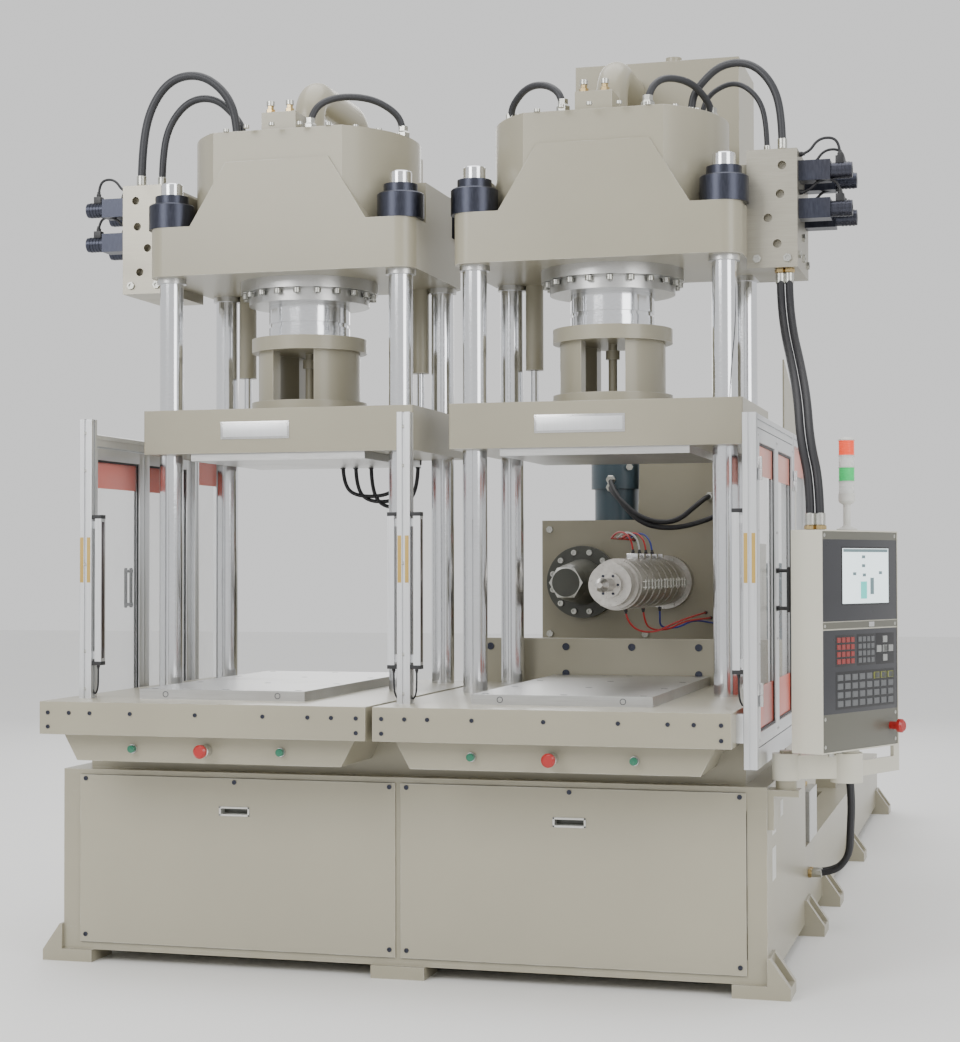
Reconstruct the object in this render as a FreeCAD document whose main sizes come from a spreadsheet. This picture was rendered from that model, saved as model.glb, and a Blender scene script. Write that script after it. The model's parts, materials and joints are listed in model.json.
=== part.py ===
import FreeCAD, Part
import math
import os
import re
import Sketcher
from types import SimpleNamespace

# Two-station vertical-clamp injection moulding machine with one horizontal injection unit.
# Frame: origin under the middle front foot at floor level, +X to the operator's right, +Y to the rear, +Z up.

SIZES = {
    # stations and levels
    "stationPitch": 1100, "stationY": 690, "cabinetSide": 603, "cabinetDepth": 1080, "frameBottom": 40,
    "cabinetTop": 628, "tableBottom": 766, "tableTop": 869, "tableHalf": 539, "tableFront": -295,
    "tableRear": 1085, "sheetWall": 12, "neckInset": 6, "baseRear": 4650, "rearBaseTop": 300,
    "railWide": 110, "crossWide": 140, "crossSecond": 1700, "crossInset": 60, "slideGap": 0.3,
    # feet
    "footWide": 175, "footDepth": 150, "footOverhang": 69, "footPlate": 35, "footTall": 122, "footLead": 15,
    "footToe": 8, "anchorRadius": 11, "anchorInset": 26, "footSlot": 90,
    # front panels and pulls
    "panelHalf": 541, "panelBottom": 66, "panelTop": 610, "panelSheet": 6, "cabinetRim": 60,
    "pullHeight": 505, "pullWide": 104, "pullTall": 30, "pullDeep": 38, "pullSheet": 2,
    # steel plates
    "lowerPlateHalf": 280, "lowerPlateFront": -115, "lowerPlateRear": 1000, "lowerPlateThick": 31,
    "upperPlateHalf": 315, "upperPlateInset": 12, "upperPlateThick": 25,
    # button boxes
    "boxFront": -230, "boxRear": 60, "boxBottom": 680, "boxTopHalf": 487, "boxBottomHalf": 440,
    "boxSheet": 3, "buttonHeight": 721, "buttonSpread": 247, "capRadius": 12, "capLong": 22,
    "bezelRadius": 16, "bezelProud": 8, "bezelBore": 12.4, "stopCapRadius": 21, "stopCapThick": 16,
    "stopStemRadius": 12, "stopCollarRadius": 20, "stopCollarLong": 38, "stopReach": 62, "buttonInside": 24,
    # tie bars
    "barSpreadX": 420, "barSpreadY": 250, "barRadius": 41, "barBottom": 640, "threadRadius": 38,
    "threadTop": 2628, "nutRadius": 80, "nutThick": 88, "nutCrown": 58, "nutCrownTall": 30,
    "collarRadius": 51, "collarThick": 18,
    # crosshead
    "headHalf": 482, "headHalfDepth": 328, "headBottom": 2295, "headShoulder": 2465, "ribTop": 2680,
    "ribTopHalf": 187, "ribFootHalf": 320, "ribThick": 70, "headCorner": 60, "drumRadius": 398,
    "drumTop": 2785, "drumLid": 45, "portBlockWide": 124, "portBlockDeep": 120, "portBlockTall": 62,
    # press cylinder
    "cheekThick": 80, "cheekHalf": 160, "cheekTall": 140, "linerRadius": 243, "linerBore": 200,
    "pistonThick": 60, "pistonGap": 4, "slideClearance": 0.05, "glandRadius": 244, "glandDrop": 82,
    "glandCollar": 214, "glandCollarDrop": 40, "ramRadius": 143, "ramGroove": 6, "ramGrooveTall": 14,
    "ramGrooveHeight": 2135,
    # coupling
    "couplingTop": 2094, "couplingFlange": 204, "couplingFlangeTall": 48, "couplingFoot": 40,
    "couplingBody": 180, "windowWide": 150, "couplingBore": 120, "boltRadius": 15, "boltHeadRadius": 24,
    "boltHeadTall": 30,
    # moving platen
    "platenHalf": 488, "platenHalfDepth": 335, "platenBottom": 1678, "platenTop": 1829, "platenEdge": 8,
    # side cylinders
    "sideSpreadX": 336, "sideRadius": 32, "sideBottom": 1990, "sideTop": 2455, "sideBore": 25,
    "sideRodRadius": 14,
    # manifolds and valves
    "manifoldWide": 165, "manifoldFront": 521, "manifoldRear": 859, "manifoldBottom": 2262,
    "manifoldTop": 2650, "portRadius": 14, "portDeep": 30, "valveLong": 172, "valveWide": 70,
    "valveTall": 66, "valveInset": 40, "valveDrop": 100, "valveStep": 125, "coilRadius": 26, "coilLong": 70,
    # prefill pipes and tanks
    "pipeRadius": 54, "pipeHeight": 2985, "pipeBend": 105, "pipeFlange": 88, "pipeFlangeThick": 20,
    "tankLeft": -200, "tankRight": 391, "tankDepth": 400, "tankBottom": 2420, "tankTop": 3091,
    "leftTankTop": 2875, "breatherAside": 124, "breatherRadius": 30, "breatherTall": 60,
    # safety posts and light curtains
    "postWide": 42, "postInset": 80, "postAside": 61, "postY": -120, "postTop": 1765, "curtainWide": 22,
    "curtainDeep": 30, "curtainBottom": 975, "curtainTop": 1457, "curtainGap": 10, "curtainTab": 24,
    # guards
    "guardSide": 601, "guardBar": 40, "guardFront": -200, "guardMid": 770, "leftGuardFront": 105,
    "leftGuardMid": 965, "guardRear": 1270, "guardBottom": 700, "guardTop": 1736, "doorGap": 3,
    "spacerInset": 10,
    "hingeGap": 0.5, "doorThick": 25, "doorBar": 40, "paneThick": 5, "doorBottom": 762,
    "handleHeight": 1215, "handleTall": 130, "handleProud": 38, "handleRadius": 6, "handleLeg": 5,
    "hingeRadius": 6.5, "hingeSeat": 7, "hingeTall": 34, "hingeLow": 880, "hingeHigh": 1540,
    "hingeLeaf": 30, "hingeSheet": 4,
    # injection unit
    "injectionSide": 0, "injectionZ": 1226, "bedCheek": 60, "bedInset": 100, "bedTop": 880, "bedFront": 1010,
    "bedRear": 2900, "bedHalf": 540, "beamThick": 35, "beamTop": 1030, "railTall": 24, "railHalf": 22,
    "carriageGap": 0.3, "carriageFront": 1760, "carriageLong": 700, "carriagePlate": 60,
    "carriageLeft": -507, "carriageRight": 330, "carriageTall": 1471, "carriageTower": 1730,
    "towerLeft": -110, "deckTall": 70, "webThick": 40, "webInset": 260, "webTop": 1380, "barrelRadius": 85,
    "barrelFront": 700, "heaterRadius": 74, "heaterFront": 625, "nozzleRing": 44, "nozzleRingFront": 596,
    "nozzleRadius": 24, "nozzleTip": 455, "nozzleTipRadius": 9, "barrelFlange": 104,
    "barrelFlangeThick": 60, "screwRadius": 34.9, "screwBore": 35, "driveHalf": 150, "driveFront": 2080,
    "driveLong": 120, "motorRadius": 95, "motorLong": 210, "plasticX": -336, "plasticFlange": 143,
    "plasticFlangeThick": 40, "plasticCover": 70, "plasticReach": 330, "feedX": -220, "feedRadius": 88,
    "feedTall": 250, "feedCap": 102,
    # hydraulic supply and cabinets at the rear
    "oilTankLeft": 450, "oilTankRight": 1090, "oilTankFront": 2960, "oilTankRear": 4150, "oilTankTop": 900,
    "motorShellRadius": 150, "motorShellLong": 420, "motorHeight": 1085, "cupboardLeft": -200,
    "cupboardRight": 400, "cupboardFront": 3300, "cupboardRear": 4300, "cupboardTop": 1480,
    "screenThick": 6, "screenSet": 20, "screenTop": 2040, "screenShoulderY": 1885, "screenShoulder": 1823,
    "screenRearY": 2341, "screenRearTop": 1458, "pumpRadius": 82, "pumpLong": 220, "saddleLong": 360,
    "saddleSet": 270, "motorSet": 250,
    # service bay on the right-hand side
    "blockLong": 260, "blockWide": 90, "blockTall": 180, "blockY": 1350,
    # pendant
    "armSide": 655, "armPivotY": 50, "armTop": 728, "armThick": 80, "armWide": 60, "armPinRadius": 20,
    "armPinFlange": 32, "armPinProud": 8, "armHub": 42, "bossSide": 829, "bossY": 107, "bossRadius": 48,
    "bossBottom": 640, "bracketBottom": 500, "bracketTop": 620, "bracketPlate": 20, "pendantTurn": 64,
    "pendantWide": 440, "pendantDeep": 105, "pendantBottom": 740, "pendantTall": 655, "pendantWall": 4,
    "faceInset": 3, "spigotRadius": 20, "spigotLong": 70, "neckRadius": 36, "stopUp": 62, "stopAcross": 395,
    "stopInside": 24, "stopProud": 46, "bezelGap": 0.3, "grabReach": 85, "grabTall": 142, "grabTop": 26,
    "grabRiser": 34, "grabBottom": 46, "grabThick": 12, "handleLow": 652, "bossGap": 4, "cableRadius": 13,
    "cableApart": 28, "cableAcross": 46, "cableInward": 33, "stackRadius": 25, "stackTall": 282,
    "stackStem": 90,
}

# places across the machine that follow the distance between the two stations
FOLLOWING = {
    "cabinetHalf": "cabinetSide", "guardFace": "guardSide", "injectionX": "injectionSide",
    "armPivotX": "armSide", "bossX": "bossSide",
}

doc = FreeCAD.newDocument("two_station_press")
sheet = doc.addObject("Spreadsheet::Sheet", "Sizes")
for row, (alias, number) in enumerate(SIZES.items(), start=1):
    sheet.set("A%d" % row, alias)
    sheet.set("B%d" % row, str(number))
    sheet.setAlias("B%d" % row, alias)
doc.recompute()
size = SimpleNamespace(**SIZES)
for place, aside in FOLLOWING.items():
    setattr(size, place, size.stationPitch / 2 + SIZES[aside])
nodes = []


def cells(expression):
    # turns plain aliases into references to the sheet
    def reference(word):
        if word[0] in FOLLOWING:
            return "(Sizes.stationPitch/2+Sizes.%s)" % FOLLOWING[word[0]]
        return "Sizes." + word[0] if word[0] in SIZES else word[0]

    return re.sub(r"[A-Za-z]\w+", reference, str(expression))


def bind(item, prop, expression):
    item.setExpression(prop, cells(expression))


def move(item, x, y, z):
    for axis, expression in zip("xyz", (x, y, z)):
        bind(item, "Placement.Base." + axis, expression)


def turn(item, direction):
    turns = {"Z": (0, 0, 1, 0), "X": (0, 1, 0, 90), "-X": (0, 1, 0, -90), "Y": (1, 0, 0, -90),
             "-Y": (1, 0, 0, 90), "-Z": (1, 0, 0, 180)}
    ax, ay, az, angle = turns[direction]
    item.Placement.Rotation = FreeCAD.Rotation(FreeCAD.Vector(ax, ay, az), angle)


def box(name, x, y, z, long, wide, tall):
    item = doc.addObject("Part::Box", name)
    for prop, expression in (("Length", long), ("Width", wide), ("Height", tall)):
        bind(item, prop, expression)
    move(item, x, y, z)
    return item


def rod(name, x, y, z, radius, long, direction="Z"):
    item = doc.addObject("Part::Cylinder", name)
    bind(item, "Radius", radius)
    bind(item, "Height", long)
    turn(item, direction)
    move(item, x, y, z)
    return item


def join(name, parts):
    item = doc.addObject("Part::MultiFuse", name)
    item.Shapes = parts
    return item


def cut(name, base, tools):
    item = doc.addObject("Part::Cut", name)
    item.Base = base
    item.Tool = tools[0] if len(tools) == 1 else join(name + "Tools", tools)
    return item


def common(name, base, tool):
    item = doc.addObject("Part::Common", name)
    item.Base = base
    item.Tool = tool
    return item


def group(name, parts):
    item = doc.addObject("Part::Compound", name)
    item.Links = parts
    return item


def node(label, item):
    item.Label = label
    nodes.append(item)
    return item


def sketchOn(body, role, name):
    sketch = body.newObject("Sketcher::SketchObject", name)
    plane = [feature for feature in body.Origin.OriginFeatures if feature.Role == role][0]
    sketch.AttachmentSupport = [(plane, "")]
    sketch.MapMode = "FlatFace"
    return sketch


def outline(sketch, points):
    # a closed run of straight edges whose corners are each tied to two expressions
    probe = doc.addObject("App::FeaturePython", sketch.Name + "Probe")
    probe.addProperty("App::PropertyFloat", "Value")
    corners = []
    for point in points:
        place = []
        for expression in point:
            probe.setExpression("Value", cells(expression))
            probe.recompute()
            place.append(probe.Value)
        corners.append(place)
    doc.removeObject(probe.Name)
    count = len(points)
    for index in range(count):
        first = FreeCAD.Vector(corners[index][0], corners[index][1], 0)
        last = FreeCAD.Vector(corners[(index + 1) % count][0], corners[(index + 1) % count][1], 0)
        sketch.addGeometry(Part.LineSegment(first, last), False)
    for index in range(count):
        sketch.addConstraint(Sketcher.Constraint("Coincident", index, 2, (index + 1) % count, 1))
    for index, point in enumerate(points):
        for kind, number, expression in zip(("DistanceX", "DistanceY"), corners[index], point):
            tie = sketch.addConstraint(Sketcher.Constraint(kind, index, 1, float(number)))
            sketch.setExpression("Constraints[%d]" % tie, cells(expression))


def padded(name, role, points, long, x, y, z):
    # an outline drawn on one of the body's own planes and padded towards +X, +Y or +Z
    body = doc.addObject("PartDesign::Body", name)
    sketch = sketchOn(body, role, name + "Outline")
    outline(sketch, points)
    pad = body.newObject("PartDesign::Pad", name + "Pad")
    pad.Profile = sketch
    bind(pad, "Length", long)
    pad.Reversed = role == "XZ_Plane"
    move(body, x, y, z)
    return body


def turned(name, points, x, y, z, direction="Z"):
    # a half section, as radius and height, revolved about its own axis
    body = doc.addObject("PartDesign::Body", name)
    sketch = sketchOn(body, "XZ_Plane", name + "Section")
    outline(sketch, points)
    spin = body.newObject("PartDesign::Revolution", name + "Turning")
    spin.Profile = sketch
    spin.ReferenceAxis = (sketch, ["V_Axis"])
    spin.Angle = 360
    turn(body, direction)
    move(body, x, y, z)
    return body


def rounded(name, base, radius, test):
    # a fillet on the edges of a finished shape that pass a test
    doc.recompute()
    item = doc.addObject("Part::Fillet", name)
    item.Base = base
    item.Edges = [(number, radius, radius) for number, edge in enumerate(base.Shape.Edges, start=1)
                  if test(edge)]
    return item


def upright(edge):
    first, last = edge.Vertexes[0].Point, edge.Vertexes[-1].Point
    return abs(first.x - last.x) < 0.01 and abs(first.y - last.y) < 0.01 and edge.Length > 1


def bentTube(route, radius, bend=None):
    # straight runs joined by tangent arcs: of one radius for a pipe, or as large as the runs allow for a hose
    spots = [FreeCAD.Vector(*spot) for spot in route]
    edges = []
    radii = []
    last = spots[0]
    for before, here, after in zip(spots, spots[1:], spots[2:]):
        back = before - here
        ahead = after - here
        shorter = min(back.Length, ahead.Length)
        back.normalize()
        ahead.normalize()
        turning = math.pi - back.getAngle(ahead)
        trim = bend * math.tan(turning / 2) if bend else 0.45 * shorter
        around = trim / math.tan(turning / 2)
        enter = here + back * trim
        leave = here + ahead * trim
        inward = (back + ahead).normalize()
        middle = here + inward * (around / math.cos(turning / 2) - around)
        if (enter - last).Length > 0.001:
            edges.append(Part.LineSegment(last, enter).toShape())
        edges.append(Part.Arc(enter, middle, leave).toShape())
        radii.append(around)
        last = leave
    edges.append(Part.LineSegment(last, spots[-1]).toShape())
    path = Part.Wire(edges)
    ring = Part.Wire(Part.Circle(spots[0], spots[1] - spots[0], radius).toShape())
    tube = path.makePipeShell([ring], True, True)
    ratio = tube.Volume / (math.pi * radius ** 2 * path.Length)
    print("  tube of %5.0f mm, tightest bend %4.0f mm, volume against section times length %.4f" % (
        path.Length, min(radii), ratio))
    return tube


stations = (("left", "-stationPitch/2"), ("right", "stationPitch/2"))
corners = [(sx, sy) for sx in ("-", "+") for sy in ("-", "+")]


def frontCabinet():
    # welded from plates: floor, deck, back, sides and a partition, with a raised neck under the tables
    inside = "cabinetTop-frameBottom-2*sheetWall"
    floor = "frameBottom+sheetWall"
    parts = [box("cabinetFloor", "-cabinetHalf", 0, "frameBottom", "2*cabinetHalf", "cabinetDepth",
                 "sheetWall"),
             box("cabinetDeck", "-cabinetHalf", 0, "cabinetTop-sheetWall", "2*cabinetHalf", "cabinetDepth",
                 "sheetWall"),
             box("cabinetBack", "-cabinetHalf", "cabinetDepth-sheetWall", floor, "2*cabinetHalf", "sheetWall",
                 inside)]
    for place, low in (("Left", "-cabinetHalf"), ("Middle", "-sheetWall/2"), ("Right",
                                                                              "cabinetHalf-sheetWall")):
        parts.append(box("cabinetWall" + place, low, "sheetWall", floor, "sheetWall",
                         "cabinetDepth-2*sheetWall",
                         inside))
    for side, centre in stations:
        low = "-cabinetHalf" if side == "left" else "cabinetRim/2"
        wide = "cabinetHalf-cabinetRim/2"
        for place, height in (("Low", floor), ("High", "cabinetTop-sheetWall-cabinetRim")):
            parts.append(box(side + "Rim" + place, low, 0, height, wide, "sheetWall", "cabinetRim"))
    parts.append(box("cabinetPostMiddle", "-cabinetRim/2", 0, floor, "cabinetRim", "sheetWall", inside))
    for place, low in (("Left", "-cabinetHalf"), ("Right", "cabinetHalf-cabinetRim")):
        parts.append(box("cabinetPost" + place, low, 0, floor + "+cabinetRim", "cabinetRim", "sheetWall",
                         inside + "-2*cabinetRim"))
    neckHalf = "(stationPitch/2+tableHalf-neckInset)"
    for place, depth in (("Front", "boxRear"), ("Rear", "cabinetDepth-sheetWall")):
        parts.append(box("neck" + place, "-" + neckHalf, depth, "cabinetTop", "2*" + neckHalf, "sheetWall",
                         "tableBottom-cabinetTop"))
    for place, low in (("Left", "-" + neckHalf), ("Middle", "-sheetWall/2"), ("Right",
                                                                              neckHalf + "-sheetWall")):
        parts.append(box("neck" + place, low, "boxRear+sheetWall", "cabinetTop", "sheetWall",
                         "cabinetDepth-boxRear-2*sheetWall", "tableBottom-cabinetTop"))
    shelf = box("armShelf", "cabinetHalf", "armPivotY-armHub", "bracketTop-bracketPlate",
                "armPivotX-cabinetHalf+armHub", "2*armHub", "bracketPlate")
    plate = box("armPlate", "cabinetHalf", "armPivotY-armHub", "bracketBottom", "bracketPlate", "2*armHub",
                "bracketTop-bracketBottom")
    pin = turned("armPin", [("0", "bracketTop-1"), ("armPinFlange", "bracketTop-1"),
                 ("armPinFlange", "armTop-armThick-slideGap"), ("armPinRadius", "armTop-armThick-slideGap"),
                 ("armPinRadius", "armTop+armPinProud"), ("0", "armTop+armPinProud")],
                 "armPivotX", "armPivotY", 0)
    parts.append(join("armBracket", [shelf, plate, pin]))
    node("front_cabinet", group("cabinet", parts))


def rearBase():
    parts = []
    for side, low in (("left", "-cabinetHalf"), ("right", "cabinetHalf-railWide")):
        parts.append(box(side + "BaseRail", low, "cabinetDepth", "frameBottom", "railWide",
                         "baseRear-cabinetDepth", "rearBaseTop-frameBottom"))
    places = ("cabinetDepth+20", "crossSecond", "bedRear-crossWide/2", "cupboardFront+crossInset",
              "cupboardRear-crossInset-crossWide", "baseRear-crossWide")
    for index, low in enumerate(places):
        parts.append(box("crossBar%d" % index, "-cabinetHalf+railWide", low, "frameBottom",
                         "2*(cabinetHalf-railWide)", "crossWide", "rearBaseTop-frameBottom"))
    node("rear_base", group("rearBase", parts))


def machineFeet():
    section = [("0", "0"), ("footWide", "0"), ("footWide", "footPlate"), ("footWide-footOverhang+footToe",
                                                                          "footTall"),
               ("footWide-footOverhang", "footTall"), ("footWide-footOverhang", "frameBottom"),
               ("0", "frameBottom")]
    mirrored = [("-(%s)" % across, up) for across, up in section]
    rows = ("-footLead", "cabinetDepth-footDepth/2+footLead*2", "crossSecond-footLead*3",
            "bedRear-footDepth/2", "baseRear-footDepth")
    feet = []
    for side, points, sign in (("left", mirrored, "-"), ("right", section, "")):
        edge = "%s(cabinetHalf-footWide+footOverhang)" % sign
        for index, low in enumerate(rows):
            name = "%sFoot%d" % (side, index)
            block = padded(name, "XZ_Plane", points, "footDepth", edge, low, 0)
            reach = "cabinetHalf+footToe" if side == "right" else "-cabinetHalf-footOverhang"
            slot = box(name + "Slot", reach, "%s+(footDepth-footSlot)/2" % low, "footPlate",
                       "footOverhang-footToe", "footSlot", "footTall")
            hole = rod(name + "Hole", "%s(cabinetHalf+footOverhang-anchorInset)" % sign,
                       "%s+footDepth/2" % low, -1, "anchorRadius", "footPlate+2")
            feet.append(cut(name + "Cut", block, [slot, hole]))
    for name, low in (("middleFoot", "-footLead"), ("middleRearFoot", "baseRear-footDepth")):
        feet.append(box(name, "-footWide/2", low, 0, "footWide", "footDepth", "frameBottom"))
    node("machine_feet", group("machineFeet", feet))


def frontPanels():
    panels = []
    pulls = []
    for side, centre in stations:
        sheetPart = box(side + "Panel", centre + "-panelHalf", "-panelSheet", "panelBottom", "2*panelHalf",
                        "panelSheet", "panelTop-panelBottom")
        slot = box(side + "PullSlot", centre + "-pullWide/2", "-2*panelSheet", "pullHeight-pullTall/2",
                   "pullWide", "3*panelSheet", "pullTall")
        panels.append(cut(side + "PanelCut", sheetPart, [slot]))
        tray = box(side + "PullTray", centre + "-pullWide/2", "-panelSheet-pullSheet",
                   "pullHeight-pullTall/2", "pullWide", "pullDeep", "pullTall")
        hollow = box(side + "PullHollow", centre + "-pullWide/2+pullSheet", "-panelSheet-2*pullSheet",
                     "pullHeight-pullTall/2+pullSheet", "pullWide-2*pullSheet", "pullDeep",
                     "pullTall-2*pullSheet")
        pulls.append(cut(side + "Pull", tray, [hollow]))
    node("front_panels", group("frontPanels", panels))
    node("panel_pulls", group("panelPulls", pulls))


def tables():
    slabs = []
    plates = []
    for side, centre in stations:
        slab = box(side + "Slab", centre + "-tableHalf", "tableFront", "tableBottom", "2*tableHalf",
                   "tableRear-tableFront", "tableTop-tableBottom")
        holes = [rod("%sSlabHole%d" % (side, index), centre + sx + "barSpreadX",
                     "stationY" + sy + "barSpreadY",
                     "tableBottom-1", "barRadius+slideClearance", "tableTop-tableBottom+2")
                 for index, (sx, sy) in enumerate(corners)]
        slabs.append(cut(side + "SlabCut", slab, holes))
        plate = box(side + "LowerPlate", centre + "-lowerPlateHalf", "lowerPlateFront", "tableTop",
                    "2*lowerPlateHalf", "lowerPlateRear-lowerPlateFront", "lowerPlateThick")
        plates.append(plate)
    node("tables", group("tableSlabs", slabs))
    node("lower_plates", group("lowerPlates", plates))


def buttonBoxes():
    boxes = []
    for side, centre in stations:
        outer = padded(side + "ButtonBox", "XZ_Plane",
                       [("-boxTopHalf", "tableBottom"), ("-boxBottomHalf", "boxBottom"),
                        ("boxBottomHalf", "boxBottom"), ("boxTopHalf", "tableBottom")],
                       "boxRear-boxFront", centre, "boxFront", 0)
        inner = padded(side + "ButtonBoxInside", "XZ_Plane",
                       [("-boxTopHalf+2*boxSheet", "tableBottom+1"),
                        ("-boxBottomHalf+2*boxSheet", "boxBottom+boxSheet"),
                        ("boxBottomHalf-2*boxSheet", "boxBottom+boxSheet"),
                        ("boxTopHalf-2*boxSheet", "tableBottom+1")],
                       "boxRear-boxFront-2*boxSheet", centre, "boxFront+boxSheet", 0)
        holes = [rod("%sButtonHole%s" % (side, place), centre + offset, "boxFront-1", "buttonHeight",
                     "bezelBore", "boxSheet+2", "Y")
                 for place, offset in (("A", "-buttonSpread"), ("B", ""), ("C", "+buttonSpread"))]
        boxes.append(cut(side + "ButtonBoxCut", outer, [inner] + holes))
    node("button_boxes", group("buttonBoxes", boxes))


def pushButtons():
    bezels = []
    for side, centre in stations:
        for place, offset in (("outer", "-buttonSpread"), ("inner", "+buttonSpread")):
            name = "%s_%s_button" % (side, place)
            bezels.append(turned(name + "Bezel", [("bezelBore", "0"), ("bezelRadius", "0"),
                                 ("bezelRadius-2", "bezelProud"), ("bezelBore", "bezelProud")],
                                 centre + offset, "boxFront", "buttonHeight", "-Y"))
            cap = turned(name + "Cap", [("0", "-buttonInside"), ("capRadius/2", "-buttonInside"),
                         ("capRadius/2", "-boxSheet-1"), ("capRadius", "-boxSheet-1"),
                         ("capRadius", "capLong-2"), ("capRadius-2", "capLong"), ("0", "capLong")],
                         centre + offset, "boxFront", "buttonHeight", "-Y")
            node(name, cap)
        bezels.append(turned(side + "StopBezel", [("bezelBore", "0"), ("stopCollarRadius", "0"),
                             ("stopCollarRadius", "stopCollarLong-4"), ("stopCollarRadius-3",
                                                                        "stopCollarLong"),
                             ("bezelBore", "stopCollarLong")], centre, "boxFront", "buttonHeight", "-Y"))
        mushroom = [("0", "-buttonInside"), ("stopStemRadius", "-buttonInside"),
                    ("stopStemRadius", "stopReach-stopCapThick"), ("stopCapRadius", "stopReach-stopCapThick"),
                    ("stopCapRadius", "stopReach-6"), ("stopCapRadius-6", "stopReach"), ("0", "stopReach")]
        node(side + "_stop_button", turned(side + "Stop", mushroom, centre, "boxFront", "buttonHeight", "-Y"))
    node("button_bezels", group("buttonBezels", bezels))


def tieBars():
    bars = []
    nuts = []
    collars = []
    for side, centre in stations:
        for index, (sx, sy) in enumerate(corners):
            at = (centre + sx + "barSpreadX", "stationY" + sy + "barSpreadY", 0)
            name = "%sBar%d" % (side, index)
            bars.append(turned(name, [("0", "barBottom"), ("barRadius", "barBottom"), ("barRadius",
                                                                                       "headShoulder"),
                               ("threadRadius", "headShoulder"), ("threadRadius", "threadTop-4"),
                               ("threadRadius-4", "threadTop"), ("0", "threadTop")], *at))
            inner = "threadRadius+slideClearance"
            nuts.append(turned(name + "Nut", [(inner, "headShoulder"), ("nutRadius", "headShoulder"),
                               ("nutRadius", "headShoulder+nutThick-5"), ("nutRadius-5",
                                                                          "headShoulder+nutThick"),
                               ("nutCrown", "headShoulder+nutThick"),
                               ("nutCrown", "headShoulder+nutThick+nutCrownTall"),
                               (inner, "headShoulder+nutThick+nutCrownTall")], *at))
            bore = "barRadius+slideClearance"
            collars.append(turned(name + "Collar", [(bore, "headBottom-collarThick"),
                                  ("collarRadius", "headBottom-collarThick"), ("collarRadius", "headBottom"),
                                  (bore, "headBottom")], *at))
    node("tie_bars", group("tieBars", bars))
    node("column_nuts", group("columnNuts", nuts))
    node("column_collars", group("columnCollars", collars))


def crossheads():
    heads = []
    liners = []
    glands = []
    for side, centre in stations:
        slab = box(side + "HeadSlab", centre + "-headHalf", "stationY-headHalfDepth", "headBottom",
                   "2*headHalf", "2*headHalfDepth", "headShoulder-headBottom")
        slab = rounded(side + "HeadRound", slab, size.headCorner, upright)
        ribs = []
        for place, low in (("Front", "stationY-headHalfDepth"), ("Rear", "stationY+headHalfDepth-ribThick")):
            ribs.append(padded(side + place + "Rib", "XZ_Plane",
                               [("-ribFootHalf", "headShoulder-1"), ("-ribTopHalf", "ribTop"),
                                ("ribTopHalf", "ribTop"), ("ribFootHalf", "headShoulder-1")],
                               "ribThick", centre, low, 0))
        drum = rod(side + "Drum", centre, "stationY", "headShoulder-1", "drumRadius",
                   "drumTop-headShoulder+1")
        flats = box(side + "DrumFlats", centre + "-drumRadius-1", "stationY-headHalfDepth+6",
                    "headShoulder-2", "2*drumRadius+2", "2*headHalfDepth-12", "drumTop-headShoulder+4")
        drum = common(side + "DrumFlat", drum, flats)
        block = box(side + "PortBlock", centre + "-portBlockWide/2", "stationY-headHalfDepth+20", "drumTop-1",
                    "portBlockWide", "portBlockDeep", "portBlockTall+1")
        cheeks = [box(side + "Cheek" + place, centre + low, "stationY-cheekHalf", "headShoulder-1",
                      "cheekThick", "2*cheekHalf", "cheekTall+1")
                  for place, low in (("A", "-headHalf"), ("B", "+headHalf-cheekThick"))]
        casting = join(side + "Casting", [slab] + ribs + [drum, block] + cheeks)
        holes = [rod(side + "HeadBore", centre, "stationY", "headBottom-1", "linerRadius+slideClearance",
                     "drumTop-drumLid-headBottom+1"),
                 rod(side + "HeadPort", centre, "stationY", "drumTop-drumLid-1", "pipeRadius-6", "drumLid+2")]
        for index, (sx, sy) in enumerate(corners):
            x, y = centre + sx + "barSpreadX", "stationY" + sy + "barSpreadY"
            holes.append(rod("%sHeadHole%d" % (side, index), x, y, "headBottom-1", "barRadius+slideClearance",
                             "headShoulder-headBottom+2"))
            holes.append(rod("%sNutSeat%d" % (side, index), x, y, "headShoulder",
                             "nutRadius+8", "drumTop-headShoulder+4"))
            if sy == "+":
                holes.append(rod("%sSideHole%d" % (side, index), centre + sx + "sideSpreadX", y,
                                 "headBottom-1", "sideRadius+slideClearance", "sideTop-headBottom+1"))
        heads.append(cut(side + "Head", casting, holes))
        liners.append(turned(side + "Liner", [("linerBore", "headBottom"), ("linerRadius", "headBottom"),
                             ("linerRadius", "drumTop-drumLid"), ("linerBore", "drumTop-drumLid")],
                             centre, "stationY", 0))
        bore = "ramRadius+slideClearance"
        glands.append(turned(side + "Gland", [(bore, "headBottom-glandDrop"),
                             ("glandCollar", "headBottom-glandDrop"),
                             ("glandCollar", "headBottom-glandCollarDrop"),
                             ("glandRadius", "headBottom-glandCollarDrop"), ("glandRadius", "headBottom"),
                             (bore, "headBottom")], centre, "stationY", 0))
    node("crossheads", group("crossheadPair", heads))
    node("cylinder_liners", group("cylinderLiners", liners))
    node("gland_flanges", group("glandFlanges", glands))


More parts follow.
